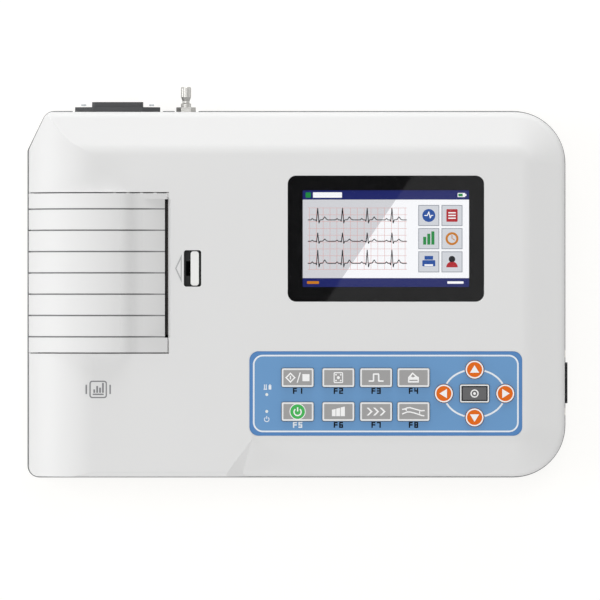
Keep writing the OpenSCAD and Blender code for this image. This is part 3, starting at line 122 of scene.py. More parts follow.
SKY_LEVEL = 0.49
scene.view_settings.view_transform = "Standard"
scene.world = scene.world or bpy.data.worlds.new("studio")
scene.world.use_nodes = True
sky = scene.world.node_tree
sky.nodes.clear()
level = add(sky, "ShaderNodeMapRange", Value=seen_or_mirrored(sky), To_Min=SKY_LEVEL, To_Max=1.0)
backdrop = add(sky, "ShaderNodeBackground", Color=linear("#FDFDFC"), Strength=level.outputs[0])
sky.links.new(backdrop.outputs[0], add(sky, "ShaderNodeOutputWorld").inputs[0])

AIM_Z = 0.03


def soft_box(name, size, place, power):
    """An area light at a place in metres from the case's middle, turned to the machine."""
    lamp = bpy.data.lights.new(name, "AREA")
    lamp.shape = "RECTANGLE"
    lamp.size, lamp.size_y = size
    lamp.energy = power
    made = bpy.data.objects.new(name, lamp)
    made.location = Vector((case_x, case_y, 0)) + Vector(place)
    aim = Vector((case_x, case_y, AIM_Z)) - made.location
    made.rotation_euler = aim.to_track_quat("-Z", "Y").to_euler()
    scene.collection.objects.link(made)


soft_box("rear box", (2.4, 0.6), (0.1, 2.1, 0.42), 27)
soft_box("left box", (2.4, 0.5), (-2.1, 0.1, 0.27), 20)
soft_box("front box", (2.4, 0.6), (0.2, -2.1, 0.42), 14.5)
soft_box("right box", (2.2, 0.6), (2.1, 0.1, 0.42), 4.8)
soft_box("upper left box", (0.8, 0.8), (-1.1, 0.1, 2.0), 8)
soft_box("top box", (0.6, 0.6), (0.3, 0.5, 2.2), 4.8)


def gloss_card(name, corners, height, level):
    """A card over the machine that only reflections show."""
    mesh = bpy.data.meshes.new(name)
    points = [(case_x + x, case_y + y, height) for x, y in corners]
    mesh.from_pydata(points, [], [list(range(len(points)))])
    made = bpy.data.objects.new(name, mesh)
    finish, tree, out = material(name)
    glow = add(tree, "ShaderNodeEmission", Color=(level, level, level, 1), Strength=1.0)
    tree.links.new(glow.outputs[0], out.inputs[0])
    mesh.materials.append(finish)
    scene.collection.objects.link(made)
    for kind in ("camera", "diffuse", "volume_scatter", "shadow"):
        setattr(made, "visible_" + kind, False)


# Seen in the window from the camera, a point p of its plane shows the card at
# camera + (p - camera) * spread.
CARD_Z = 1.30
CARD_RIGHT = 180
spread = 1 + (CARD_Z - top_z) / (camera.location.z - top_z)


def on_card(x, y):
    """The spot of the card that shows at a point of the window's plane, given in mm."""
    px, py = x * MM, y * MM
    cx, cy = camera.location.x - case_x, camera.location.y - case_y
    return cx + (px - cx) * spread, cy + (py - cy) * spread


edge_top, edge_low = Vector((76.8, 82.4)), Vector((8.2, -17.7))
glare = [edge_top, edge_low, (CARD_RIGHT, -17.7), (CARD_RIGHT, 82.4)]
flag = [(-40, -40), (CARD_RIGHT, -40), (CARD_RIGHT, 125), (-40, 125)]
gloss_card("glare card", [on_card(*corner) for corner in glare], CARD_Z, 0.28)
gloss_card("black flag", [on_card(*corner) for corner in flag], CARD_Z + 0.02, 0.04)


# Case: two covers, the door and the battery lid, injection-moulded in white ABS. The
# tool is spark-eroded, which leaves a fine even grain and little gloss.
GLOSS_DRIFT = 0.04


def moulded(name, colour, roughness, grain_mm, depth, tone=0.02, sheen=0.5):
    """A moulded plastic: eroded grain in the bump, and a slow drift in tone and gloss."""
    finish, tree, out = material(name)
    where = add(tree, "ShaderNodeTexCoord").outputs["Object"]
    drift = add(tree, "ShaderNodeTexNoise", Vector=where, Scale=1 / (60 * MM), Detail=3.0, Roughness=0.5)
    base = linear(colour)
    darker = tuple(v * (1 - tone) for v in base[:3]) + (1.0,)
    shade = add(tree, "ShaderNodeMix", {"data_type": "RGBA"}, _0=drift.outputs["Fac"], _6=darker, _7=base)
    gloss = add(tree, "ShaderNodeMapRange", Value=drift.outputs["Fac"],
                To_Min=roughness - GLOSS_DRIFT, To_Max=roughness + GLOSS_DRIFT)
    grain = add(tree, "ShaderNodeTexNoise", Vector=where, Scale=1 / (grain_mm * MM), Detail=2.0,
                Roughness=0.6)
    bump = add(tree, "ShaderNodeBump", Height=grain.outputs["Fac"], Strength=depth, Distance=0.05 * MM)
    body = add(tree, "ShaderNodeBsdfPrincipled", Base_Color=shade.outputs[2], Roughness=gloss.outputs[0],
               Normal=bump.outputs[0], IOR=1.5, Specular_IOR_Level=sheen)
    tree.links.new(body.outputs[0], out.inputs[0])
    return finish


def dress(node, finish):
    """Gives a CAD node its finish."""
    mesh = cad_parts[node].data
    mesh.materials.clear()
    mesh.materials.append(finish)


abs_white = moulded("spark-eroded white ABS", "#E9E9E9", 0.5, 0.45, 0.30, sheen=0.22)
for node in ("top_cover", "bottom_cover", "battery_cover"):
    dress(node, abs_white)

# Door: the same ABS, with painted shade that makes it greyer in a band where the roll runs out
# into the flat edge, and a thin line of painted shade in each groove, running on over the tear ramp.
abs_door = moulded("spark-eroded white ABS, door", "#E9E9E9", 0.5, 0.45, 0.30, sheen=0.22)
tree = abs_door.node_tree
body = next(node for node in tree.nodes if node.type == "BSDF_PRINCIPLED")
door_low, door_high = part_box("paper_door")
GROOVE_PITCH = 12.5
# Painted shade: these tones darken the base colour across a band at the door's right edge, where the roll
# runs out.
SHADE_BAND = 36
SHADE_TONES = ((0.0, 1.0), (0.2, 0.97), (0.40, 0.83), (0.58, 0.91), (1.0, 0.86))
GROOVE_SHADE_FULL, GROOVE_SHADE_END = 0.28, 0.46
where = add(tree, "ShaderNodeTexCoord")
spot = add(tree, "ShaderNodeSeparateXYZ", Vector=where.outputs["Object"])
across = add(tree, "ShaderNodeMapRange", Value=spot.outputs[0],
             From_Min=door_high.x - SHADE_BAND * MM, From_Max=door_high.x)
tone = add(tree, "ShaderNodeValToRGB", Fac=across.outputs[0])
tone.color_ramp.interpolation = "EASE"
stops = tone.color_ramp.elements
for place, level in SHADE_TONES:
    stop = stops.new(place) if 0 < place < 1 else stops[-1 if place else 0]
    stop.color = (level, level, level, 1)
shaded_band = add(tree, "ShaderNodeMix", {"data_type": "RGBA", "blend_type": "MULTIPLY"}, _0=1.0,
             _6=body.inputs["Base Color"].links[0].from_socket, _7=tone.outputs[0])
# Painted shade: a thin grey line in the base colour along each groove, on the door's outer faces.
from_middle = add(tree, "ShaderNodeMath", {"operation": "SUBTRACT"}, _0=spot.outputs[1],
                  _1=(door_low.y + door_high.y) / 2)
from_groove = add(tree, "ShaderNodeMath", {"operation": "PINGPONG"}, _0=from_middle.outputs[0],
                  _1=GROOVE_PITCH / 2 * MM)
line = add(tree, "ShaderNodeMapRange", Value=from_groove.outputs[0], From_Min=GROOVE_SHADE_FULL * MM,
           From_Max=GROOVE_SHADE_END * MM, To_Min=1.0, To_Max=0.0)
facing = add(tree, "ShaderNodeVectorMath", {"operation": "DOT_PRODUCT"}, _0=where.outputs["Normal"],
             _1=(-0.6, 0.0, 0.8))
outer = add(tree, "ShaderNodeMath", {"operation": "GREATER_THAN"}, _0=facing.outputs["Value"], _1=-0.3)
groove_shade = add(tree, "ShaderNodeMath", {"operation": "MULTIPLY"}, _0=line.outputs[0], _1=outer.outputs[0])
groove_shaded = add(tree, "ShaderNodeMix", {"data_type": "RGBA"}, _0=groove_shade.outputs[0], _6=shaded_band.outputs[2],
            _7=linear("#7E7F80"))
tree.links.new(groove_shaded.outputs[2], body.inputs["Base Color"])
dress("paper_door", abs_door)

# Door seam shade: a strip of black foam in the rebate along each end of the door, put there as painted shade
# in the seam. It follows the roll, then the flat top. Its profile is two lines, its lower and its upper face.
seam_shade_foam = moulded("black foam strip, painted seam shade", "#1B1B1C", 0.9, 0.25, 0.8, tone=0.15, sheen=0.1)
ROLL_R, REBATE_D, REBATE_W = 38.0, 1.2, 0.4
FOAM_LIFT, FOAM_T, FOAM_W, FOAM_GAP = 0.02, 0.15, REBATE_W - 0.06, 0.33
FOAM_DROP, FOAM_PAST = 3, 0.65
roll_at = Vector((door_low.x + ROLL_R * MM, top_z - ROLL_R * MM))
turns = [math.radians(180 - 90 * i / 24) for i in range(25)]
profile = []
for r in (ROLL_R - REBATE_D + FOAM_LIFT, ROLL_R - REBATE_D + FOAM_T):
    foot = (roll_at.x - r * MM, roll_at.y - FOAM_DROP * MM)
    bend = [(roll_at.x + r * MM * math.cos(a), roll_at.y + r * MM * math.sin(a)) for a in turns]
    profile.append([foot] + bend + [(door_high.x + FOAM_PAST * MM, roll_at.y + r * MM)])
strips = (("door_gasket_rear", door_high.y + FOAM_GAP * MM),
          ("door_gasket_front", door_low.y - FOAM_GAP * MM - FOAM_W * MM))
for name, y0 in strips:
    y1 = y0 + FOAM_W * MM
    count = len(profile[0])
    points = [(x, y, z) for y in (y0, y1) for loop in profile for x, z in loop]
    faces = []
    for i in range(count - 1):
        faces += [(i, i + 1, count + i + 1, count + i),
                  (2 * count + i, 3 * count + i, 3 * count + i + 1, 2 * count + i + 1),
                  (count + i, count + i + 1, 3 * count + i + 1, 3 * count + i),
                  (i, 2 * count + i, 2 * count + i + 1, i + 1)]
    faces += [(0, count, 3 * count, 2 * count), (count - 1, 3 * count - 1, 4 * count - 1, 2 * count - 1)]
    mesh = bpy.data.meshes.new(name)
    mesh.from_pydata(points, [], faces)
    mesh.validate()
    mesh.materials.append(seam_shade_foam)
    strip = bpy.data.objects.new(name, mesh)
    scene.collection.objects.link(strip)
    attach(strip, "case")

# Parting line: a thin trim of grey thermoplastic rubber is squeezed between the two covers
# all round, stands 0.9 mm proud and stops at the sockets; its grey is painted shade along the case's outline.
outline_shade_grey = moulded("grey rubber trim, painted outline shade", "#747678", 0.6, 0.5, 0.2, tone=0.05, sheen=0.3)
TRIM_R, TRIM_OUT, TRIM_STEP = 0.6, 0.3, 1.0
SEAM_BAND, SOCKET_GAP = 0.3, 0.8
seam_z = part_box("top_cover")[0].z
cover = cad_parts["top_cover"].data
rim = [v.co.xy for v in cover.vertices if abs(v.co.z - seam_z) < SEAM_BAND * MM]
rim = [rim[i] for i in convex_hull_2d(rim)]
SOCKETS = ("mains_inlet", "earth_nut", "lead_socket_shell", "lead_screw_posts", "usb_socket")
sockets = [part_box(node) for node in SOCKETS]
core = Vector((case_x, case_y))


def clear_of_sockets(x, y):
    """True where the trim meets no socket."""
    far = SOCKET_GAP * MM
    return not any(low.x - far < x < high.x + far and low.y - far < y < high.y + far
                   and low.z - far < seam_z < high.z + far for low, high in sockets)


def pushed_out(before, at, after):
    """A point of the rim, moved square to the rim and away from the case's middle."""
    square = (after - before).orthogonal()
    side = 1 if square.dot(at - core) > 0 else -1
    return at + square.normalized() * TRIM_OUT * MM * side


path = []
for start, end in zip(rim, rim[1:] + rim[:1]):
    steps = max(1, int((end - start).length / (TRIM_STEP * MM)))
    path += [start.lerp(end, i / steps) for i in range(steps)]
path = [pushed_out(*three) for three in zip(path[-1:] + path[:-1], path, path[1:] + path[:1])]
open_at = [i for i, at in enumerate(path) if not clear_of_sockets(*at)]
if open_at:
    path = path[open_at[0]:] + path[:open_at[0]]
runs, run = [], []
for at in path + [None]:
    if at is not None and clear_of_sockets(*at):
        run.append(at)
    elif run:
        runs.append(run)
        run = []
STRAIGHT = 1e-12
curve = bpy.data.curves.new("case_seal", "CURVE")
curve.dimensions = "3D"
curve.bevel_depth = TRIM_R * MM
curve.bevel_resolution = 1
curve.use_fill_caps = True
for run in runs:
    bends = [b for a, b, c in zip(run, run[1:], run[2:]) if abs((b - a).cross(c - b)) > STRAIGHT]
    keep = [run[0]] + bends + [run[-1]]
    spline = curve.splines.new("POLY")
    spline.points.add(len(keep) - 1)
    for point, at in zip(spline.points, keep):
        point.co = (at.x, at.y, seam_z, 1)
    spline.use_cyclic_u = not open_at
holder = bpy.data.objects.new("case_seal", curve)
scene.collection.objects.link(holder)
swept = holder.evaluated_get(bpy.context.evaluated_depsgraph_get())
outline_trim = bpy.data.objects.new("case_seal", bpy.data.meshes.new_from_object(swept))
bpy.data.objects.remove(holder)
scene.collection.objects.link(outline_trim)
outline_trim.data.materials.append(outline_shade_grey)
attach(outline_trim, "case")

# Feet and platen: the feet are moulded in nitrile rubber and are matt. The platen's
# sleeve is silicone rubber, ground to size, which leaves it fine-grained.
nitrile = moulded("matt nitrile rubber", "#3B3B3C", 0.82, 0.8, 0.6, tone=0.12, sheen=0.3)
ground_rubber = moulded("ground silicone rubber", "#2A2A2C", 0.68, 0.25, 0.8, tone=0.1, sheen=0.3)
dress("rubber_feet", nitrile)
dress("platen_roller", ground_rubber)


# Steel, nickel, aluminium and brass parts. Zinc plate is grey, or black on the lead
# socket's shell, and slightly blotchy. Nickel plate is smooth and warm, and dull on the
# earth stud. Turned or rolled metal has fine lines.
LINES_ALONG = 30.0    # repeats in a metre along a tool line
BLOTCH = 0.06


def metal(name, colour, roughness, line_mm, axis):
    """A plated, rolled or turned metal with fine tool lines across the given axis."""
    finish, tree, out = material(name)
    where = add(tree, "ShaderNodeTexCoord").outputs["Object"]
    fine = [LINES_ALONG] * 3
    fine[axis] = 1 / (line_mm * MM)
    stretch = add(tree, "ShaderNodeMapping", Vector=where, Scale=tuple(fine))
    lines = add(tree, "ShaderNodeTexNoise", Vector=stretch.outputs[0], Scale=1.0, Detail=2.0)
    cloud = add(tree, "ShaderNodeTexNoise", Vector=where, Scale=1 / (5 * MM), Detail=4.0, Roughness=0.6)
    gloss = add(tree, "ShaderNodeMapRange", Value=cloud.outputs["Fac"],
                To_Min=roughness - BLOTCH, To_Max=roughness + BLOTCH)
    bump = add(tree, "ShaderNodeBump", Height=lines.outputs["Fac"], Strength=0.15, Distance=0.02 * MM)
    body = add(tree, "ShaderNodeBsdfPrincipled", Base_Color=linear(colour), Metallic=1.0,
               Roughness=gloss.outputs[0], Normal=bump.outputs[0])
    tree.links.new(body.outputs[0], out.inputs[0])
    return finish


zinc_steel = metal("zinc-plated steel", "#B4B8BC", 0.34, 0.5, 2)
ground_steel = metal("ground steel rod", "#C4C6C8", 0.22, 0.2, 1)
nickel = metal("nickel plate", "#CFCCC4", 0.20, 0.25, 1)
aluminium = metal("extruded aluminium", "#B9BBBD", 0.38, 0.3, 2)
brass = metal("turned brass", "#C9A560", 0.27, 0.2, 1)
for node in ("display_bracket", "printer_frame", "head_springs", "release_spring", "stepper_motor"):
    dress(node, zinc_steel)
for node in ("hinge_pin", "head_pivot_pin", "platen_shaft"):
    dress(node, ground_steel)
for node in ("inlet_pins", "lead_screw_posts", "usb_socket"):
    dress(node, nickel)
dull_nickel = metal("dull nickel plate", "#AFAEAB", 0.34, 0.25, 1)
for node in ("earth_stud", "earth_nut"):
    dress(node, dull_nickel)
dress("lead_socket_shell", metal("black zinc plate", "#2C2C2E", 0.38, 0.3, 1))
dress("head_heatsink", aluminium)
for node in ("platen_bushes", "motor_pinion"):
    dress(node, brass)

# Screws: zinc-plated M3 pan heads with a cross recess, one tree for all of them.
# Each stands at a CAD screw and points along its own axis.
def islands(node):
    """The box of each loose solid of a CAD node, as (lowest, highest) corners."""
    shell = bmesh.new()
    shell.from_mesh(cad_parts[node].data)
    bmesh.ops.remove_doubles(shell, verts=shell.verts, dist=1e-7)
    left, boxes = set(shell.verts), []
    while left:
        queue, found = [left.pop()], []
        while queue:
            corner = queue.pop()
            found.append(corner.co.copy())
            for line in corner.link_edges:
                other = line.other_vert(corner)
                if other in left:
                    left.remove(other)
                    queue.append(other)
        corners = [c[:] for c in found]
        boxes.append((Vector(map(min, *corners)), Vector(map(max, *corners))))
    shell.free()
    return boxes


def group(name, **inputs):
    """A geometry tree with named inputs: each is (socket type, default)."""
    tree = bpy.data.node_groups.new(name, "GeometryNodeTree")
    tree.interface.new_socket("Geometry", in_out="OUTPUT", socket_type="NodeSocketGeometry")
    tree.interface.new_socket("Geometry", in_out="INPUT", socket_type="NodeSocketGeometry")
    for label, kind in inputs.items():
        tree.interface.new_socket(label.replace("_", " "), in_out="INPUT", socket_type="NodeSocket" + kind)
    return tree, tree.nodes.new("NodeGroupInput").outputs, tree.nodes.new("NodeGroupOutput").inputs


def grown(name, points, tree, attributes=None, **values):
    """Runs a geometry tree on loose points and returns the result as a plain mesh object."""
    seeds = bpy.data.meshes.new(name + " seeds")
    seeds.from_pydata(points, [], [])
    for label, vectors in (attributes or {}).items():
        layer = seeds.attributes.new(label, "FLOAT_VECTOR", "POINT")
        layer.data.foreach_set("vector", [c for v in vectors for c in v])
    carrier = bpy.data.objects.new(name + " seeds", seeds)
    scene.collection.objects.link(carrier)
    modifier = carrier.modifiers.new("grow", "NODES")
    modifier.node_group = tree
    for item in tree.interface.items_tree:
        if item.in_out == "INPUT" and item.name.replace(" ", "_") in values:
            modifier[item.identifier] = values[item.name.replace(" ", "_")]
    done = carrier.evaluated_get(bpy.context.evaluated_depsgraph_get())
    mesh = bpy.data.meshes.new_from_object(done)
    mesh.name = name
    bpy.data.objects.remove(carrier)
    made = bpy.data.objects.new(name, mesh)
    scene.collection.objects.link(made)
    return made


HEAD_CROWN, RECESS_DEPTH, RECESS_BLADE = 0.78, 1.2, 0.27
tree, given, result = group("pan head screw", Head_radius="Float", Head_height="Float",
                            Shank_radius="Float", Recess="Float", Finish="Material")
head = add(tree, "GeometryNodeMeshCone", Vertices=32, Side_Segments=1, Radius_Bottom=given["Head radius"],
           Depth=given["Head height"])
crown = add(tree, "ShaderNodeMath", {"operation": "MULTIPLY"}, _0=given["Head radius"], _1=HEAD_CROWN)
tree.links.new(crown.outputs[0], head.inputs["Radius Top"])
depth = add(tree, "ShaderNodeMath", {"operation": "MULTIPLY"}, _0=given["Head height"], _1=RECESS_DEPTH)
blade = add(tree, "ShaderNodeMath", {"operation": "MULTIPLY"}, _0=given["Recess"], _1=RECESS_BLADE)
arms = add(tree, "GeometryNodeJoinGeometry")
for long_way in ((0, 1), (1, 0)):
    size = add(tree, "ShaderNodeCombineXYZ", Z=depth.outputs[0])
    tree.links.new(given["Recess"], size.inputs[long_way[0]])
    tree.links.new(blade.outputs[0], size.inputs[long_way[1]])
    bar = add(tree, "GeometryNodeMeshCube", Size=size.outputs[0])
    rise = add(tree, "ShaderNodeCombineXYZ", Z=given["Head height"])
    moved = add(tree, "GeometryNodeTransform", Geometry=bar.outputs["Mesh"], Translation=rise.outputs[0])
    tree.links.new(moved.outputs[0], arms.inputs[0])
cut = add(tree, "GeometryNodeMeshBoolean", {"operation": "DIFFERENCE"})
tree.links.new(head.outputs["Mesh"], cut.inputs["Mesh 1"])
tree.links.new(arms.outputs[0], cut.inputs["Mesh 2"])
shank = add(tree, "GeometryNodeMeshCylinder", Vertices=16, Radius=given["Shank radius"], Depth=1.0)
shank = add(tree, "GeometryNodeTransform", Geometry=shank.outputs["Mesh"], Translation=(0, 0, -0.5))
facing = add(tree, "GeometryNodeInputNamedAttribute", {"data_type": "FLOAT_VECTOR"}, Name="facing")
stretch = add(tree, "GeometryNodeInputNamedAttribute", {"data_type": "FLOAT_VECTOR"}, Name="stretch")
turned = add(tree, "FunctionNodeAlignRotationToVector", {"axis": "Z"}, Vector=facing.outputs[0])
heads = add(tree, "GeometryNodeInstanceOnPoints", Points=given["Geometry"], Instance=cut.outputs["Mesh"],
            Rotation=turned.outputs[0])
shanks = add(tree, "GeometryNodeInstanceOnPoints", Points=given["Geometry"], Instance=shank.outputs[0],
             Rotation=turned.outputs[0], Scale=stretch.outputs[0])
whole = add(tree, "GeometryNodeJoinGeometry")
tree.links.new(heads.outputs[0], whole.inputs[0])
tree.links.new(shanks.outputs[0], whole.inputs[0])
solid = add(tree, "GeometryNodeRealizeInstances", Geometry=whole.outputs[0])
finished = add(tree, "GeometryNodeSetMaterial", Geometry=solid.outputs[0], Material=given["Finish"])
tree.links.new(finished.outputs[0], result[0])

SCREW_HEAD, HEAD_R, SHANK_R, CROSS = 1.8 * MM, 2.8 * MM, 1.48 * MM, 3.0 * MM
for node, name in (("case_screws", "case_screw_heads"), ("m3_screws", "inner_screw_heads")):
    points, ways, lengths = [], [], []
    for low, high in islands(node):
        size, centre = high - low, (low + high) / 2
        if size.y > size.x + 1 * MM:           # the inlet's screws lie along Y
            points.append((centre.x, high.y - SCREW_HEAD, centre.z))
            ways.append((0, 1, 0))
        elif node == "case_screws":            # cover screws point up, heads below
            points.append((centre.x, centre.y, low.z + SCREW_HEAD))
            ways.append((0, 0, -1))
        else:
            points.append((centre.x, centre.y, high.z - SCREW_HEAD))
            ways.append((0, 0, 1))
        lengths.append((1, 1, max(size) - SCREW_HEAD))
    made = grown(name, points, tree, {"facing": ways, "stretch": lengths}, Head_radius=HEAD_R,
                 Head_height=SCREW_HEAD, Shank_radius=SHANK_R, Recess=CROSS, Finish=zinc_steel)
    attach(made, "case")
    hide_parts(node)

# Boards and chips: FR4 with a green solder mask over copper tracks, epoxy packages,
# a yellow-taped transformer, the flat cable of the display, and the battery's shrink wrap.
solder_mask, tree, out = material("green solder mask on FR4")
where = add(tree, "ShaderNodeTexCoord").outputs["Object"]
tracks = add(tree, "ShaderNodeTexBrick", {"offset": 0.5, "squash": 1.0}, Vector=where,
             Color1=linear("#1E6A3B"), Color2=linear("#1A5E35"), Mortar=linear("#2F8450"),
             Scale=1 / (12 * MM), Mortar_Size=0.04, Brick_Width=0.6, Row_Height=0.2)
ridge = add(tree, "ShaderNodeBump", Height=tracks.outputs["Fac"], Strength=0.3, Distance=0.04 * MM)
body = add(tree, "ShaderNodeBsdfPrincipled", Base_Color=tracks.outputs["Color"], Roughness=0.32,
           Normal=ridge.outputs[0])
tree.links.new(body.outputs[0], out.inputs[0])
epoxy = moulded("black moulding epoxy", "#232427", 0.55, 0.3, 0.3, tone=0.1)
taped_coil = moulded("yellow polyester tape", "#C9A23C", 0.40, 1.5, 0.5, tone=0.12)
flat_cable = moulded("amber polyimide film", "#B9853C", 0.30, 0.8, 0.15, tone=0.08)
shrink_wrap = moulded("blue shrink wrap", "#2B5DA8", 0.30, 2.5, 0.6, tone=0.08)
for node in ("keypad_board", "main_board", "power_board"):
    dress(node, solder_mask)
dress("main_board_chips", epoxy)
dress("power_board_parts", taped_coil)
dress("display_ribbon", flat_cable)
dress("battery_pack", shrink_wrap)

# Sockets and inner mouldings: black glass-filled nylon, satin polyester for the mains
# inlet, grey ABS for the paper tub, natural acetal for the spindle and the gears, white
# ABS for the release slide, and silicone for the key mat.
nylon_black = moulded("black glass-filled nylon", "#1D1D1F", 0.55, 0.35, 0.4, tone=0.12, sheen=0.3)
tub_grey = moulded("grey ABS", "#BFC1C1", 0.5, 0.5, 0.35, tone=0.04)
acetal = moulded("natural acetal", "#EFEADB", 0.36, 0.9, 0.12, tone=0.03)
slide_white = moulded("white ABS", "#F4F4F2", 0.36, 0.5, 0.2)
silicone = moulded("translucent silicone", "#D9D6CF", 0.6, 0.7, 0.3, tone=0.05)
for node in ("lead_socket_insert", "speaker", "release_recess"):
    dress(node, nylon_black)
dress("mains_inlet", moulded("black polyester, satin", "#3A3B3D", 0.4, 0.35, 0.3, tone=0.1, sheen=0.5))
dress("paper_tub", tub_grey)
for node in ("paper_spindle", "platen_gear", "idler_gear"):
    dress(node, acetal)
dress("release_slide", slide_white)
dress("keypad_mat", silicone)

# Print head: an alumina plate under a dark brown protective glaze, glued on the
# heatsink.
head_glaze = moulded("brown head glaze", "#2A211C", 0.16, 1.0, 0.08, tone=0.03)
dress("print_head", head_glaze)


# Prints and inlays: thin flat layers of ink, film or paint. An outline is a list of
# points in millimetres, and an outline inside another is a hole.
def box_loop(x, y, w, d, r=0.0, n=6):
    """A rectangle with round corners."""
    left, right, near, back = x - w / 2, x + w / 2, y - d / 2, y + d / 2
    if r <= 0:
        return [(left, near), (right, near), (right, back), (left, back)]
    turns = [(right - r, back - r, 0), (left + r, back - r, 90), (left + r, near + r, 180),
             (right - r, near + r, 270)]
    return [(cx + r * math.cos(math.radians(a + 90 * i / n)), cy + r * math.sin(math.radians(a + 90 * i / n)))
            for cx, cy, a in turns for i in range(n + 1)]


def oval(x, y, r, n=40):
    """A circle."""
    return [(x + r * math.cos(2 * math.pi * i / n), y + r * math.sin(2 * math.pi * i / n)) for i in range(n)]


def ribbon(path, width):
    """The outline of a line drawn along a path: mitred inside a turn, cut off outside a sharp one."""
    sides = {1: [], -1: []}
    for i, p in enumerate(path):
        before, after = path[max(i - 1, 0)], path[min(i + 1, len(path) - 1)]
        ways = [Vector((b[0] - a[0], b[1] - a[1])).normalized()
                for a, b in ((before, p), (p, after)) if a != b]
        first, last = ways[0], ways[-1]
        way = (first + last).normalized()
        reach = 1 / max(way.dot(first), 0.08)
        turn = first.x * last.y - first.y * last.x
        for side, points in sides.items():
            sharp = reach > 1.3 and side * turn < 0
            for w, far_out in ((first, 1), (last, 1)) if sharp else ((way, reach),):
                points.append((p[0] - w.y * side * width / 2 * far_out,
                               p[1] + w.x * side * width / 2 * far_out))
    return sides[1] + sides[-1][::-1]


def arc(x, y, r, start, end, n=16):
    """The points of an arc from one angle to another, in degrees."""
    turns = [math.radians(start + (end - start) * i / n) for i in range(n + 1)]
    return [(x + r * math.cos(a), y + r * math.sin(a)) for a in turns]


def printed(name, layers, body, centre):
    """One mesh of flat layers, each (finish, lowest z, highest z, outlines) in mm round a centre."""
    mesh = bpy.data.meshes.new(name)
    joined = bmesh.new()
    finishes = []
    for finish, low, high, loops in layers:
        curve = bpy.data.curves.new(name, "CURVE")
        curve.dimensions = "2D"
        curve.fill_mode = "BOTH"
        curve.extrude = (high - low) / 2
        for loop in loops:
            spline = curve.splines.new("POLY")
            spline.points.add(len(loop) - 1)
            for point, (x, y) in zip(spline.points, loop):
                point.co = (x, y, 0, 1)
            spline.use_cyclic_u = True
        holder = bpy.data.objects.new(name, curve)
        scene.collection.objects.link(holder)
        filled = holder.evaluated_get(bpy.context.evaluated_depsgraph_get())
        flat = bpy.data.meshes.new_from_object(filled)
        bpy.data.objects.remove(holder)
        flat.transform(Matrix.Translation((0, 0, (low + high) / 2)))
        if finish not in finishes:
            finishes.append(finish)
        flat.polygons.foreach_set("material_index", [finishes.index(finish)] * len(flat.polygons))
        joined.from_mesh(flat)
        bpy.data.meshes.remove(flat)
    bmesh.ops.remove_doubles(joined, verts=joined.verts, dist=1e-4)
    bmesh.ops.recalc_face_normals(joined, faces=joined.faces)
    joined.to_mesh(mesh)
    joined.free()
    for finish in finishes:
        mesh.materials.append(finish)
    mesh.transform(Matrix.Translation((centre[0], centre[1], 0)) @ Matrix.Scale(MM, 4))
    mesh.update()
    made = bpy.data.objects.new(name, mesh)
    scene.collection.objects.link(made)
    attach(made, body)
    return made


def ink(name, colour, roughness=0.45, sheen=0.5):
    """A screen-printed ink: flat, with the slight mottle of the mesh it was pressed through."""
    return moulded(name, colour, roughness, 0.6, 0.08, tone=0.015, sheen=sheen)


def middle(node):
    """The middle of a node's box, seen from above."""
    low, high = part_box(node)
    return (low.x + high.x) / 2, (low.y + high.y) / 2


# Release slide: a strip of black flocked tape on the bar, under the thumb piece, is painted
# shade that darkens the slot.
slot_shade_flock = moulded("black flocked tape, painted slot shade", "#0B0B0C", 0.95, 0.3, 0.8, tone=0.2, sheen=0.0)
BAR_DROP = 3.7
TAPE_LOW, TAPE_HIGH = 0.01, 0.14
bar_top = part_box("release_recess")[1].z / MM - BAR_DROP
tape_loops = [box_loop(0.3, 0, 9.9, 12), box_loop(1.3, 0, 3.1, 8.1)]
printed("release_tape", [(slot_shade_flock, bar_top + TAPE_LOW, bar_top + TAPE_HIGH, tape_loops)],
        "release", middle("release_recess"))

# Display: a thin-film panel behind a clear acrylic window, which is printed black on
# its rear face up to the lit area and polished on its front.
window_low, window_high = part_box("screen_window")
window = middle("screen_window")
window_size = [(window_high[i] - window_low[i]) / MM for i in (0, 1)]
window_z = window_low.z / MM
LIT = (97.5, 56.6)
acrylic, tree, out = material("clear cast acrylic")
where = add(tree, "ShaderNodeTexCoord").outputs["Object"]
smear = add(tree, "ShaderNodeTexNoise", Vector=where, Scale=1 / (25 * MM), Detail=3.0)
haze = add(tree, "ShaderNodeMapRange", Value=smear.outputs["Fac"], To_Min=0.004, To_Max=0.02)
clear = add(tree, "ShaderNodeBsdfPrincipled", Base_Color=(1, 1, 1, 1), Roughness=haze.outputs[0], IOR=1.49,
            Transmission_Weight=1.0)
rays = add(tree, "ShaderNodeLightPath")
ghost = add(tree, "ShaderNodeBsdfTransparent")
mixed = add(tree, "ShaderNodeMixShader", _0=rays.outputs["Is Shadow Ray"], _1=clear.outputs[0],
            _2=ghost.outputs[0])
tree.links.new(mixed.outputs[0], out.inputs[0])
back_print, tree, out = material("black ink behind acrylic")
body = add(tree, "ShaderNodeBsdfPrincipled", Base_Color=linear("#0D0D0E"), Roughness=0.6,
           Specular_IOR_Level=0.0)
tree.links.new(body.outputs[0], out.inputs[0])

WINDOW_R, LIT_R = 5, 0.6
PRINT_LOW, PRINT_HIGH, PANE_LOW = 0.01, 0.04, 0.05
window_loop = box_loop(0, 0, *window_size, r=WINDOW_R, n=12)
pane = printed("window_plate", [(acrylic, window_z + PANE_LOW, top_z / MM, [window_loop])],
               "case", window)
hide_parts("screen_window")
border = [window_loop, box_loop(0, 0, *LIT, r=LIT_R)]
printed("window_print", [(back_print, window_z + PRINT_LOW, window_z + PRINT_HIGH, border)],
        "case", window)


def lit(name, colour, level=1.0):
    """A colour on the lit panel."""
    finish, tree, out = material(name)
    body = add(tree, "ShaderNodeBsdfPrincipled", Base_Color=(0.005, 0.005, 0.005, 1), Roughness=0.5,
               Specular_IOR_Level=0.0, Emission_Color=linear(colour), Emission_Strength=level)
    tree.links.new(body.outputs[0], out.inputs[0])
    return finish


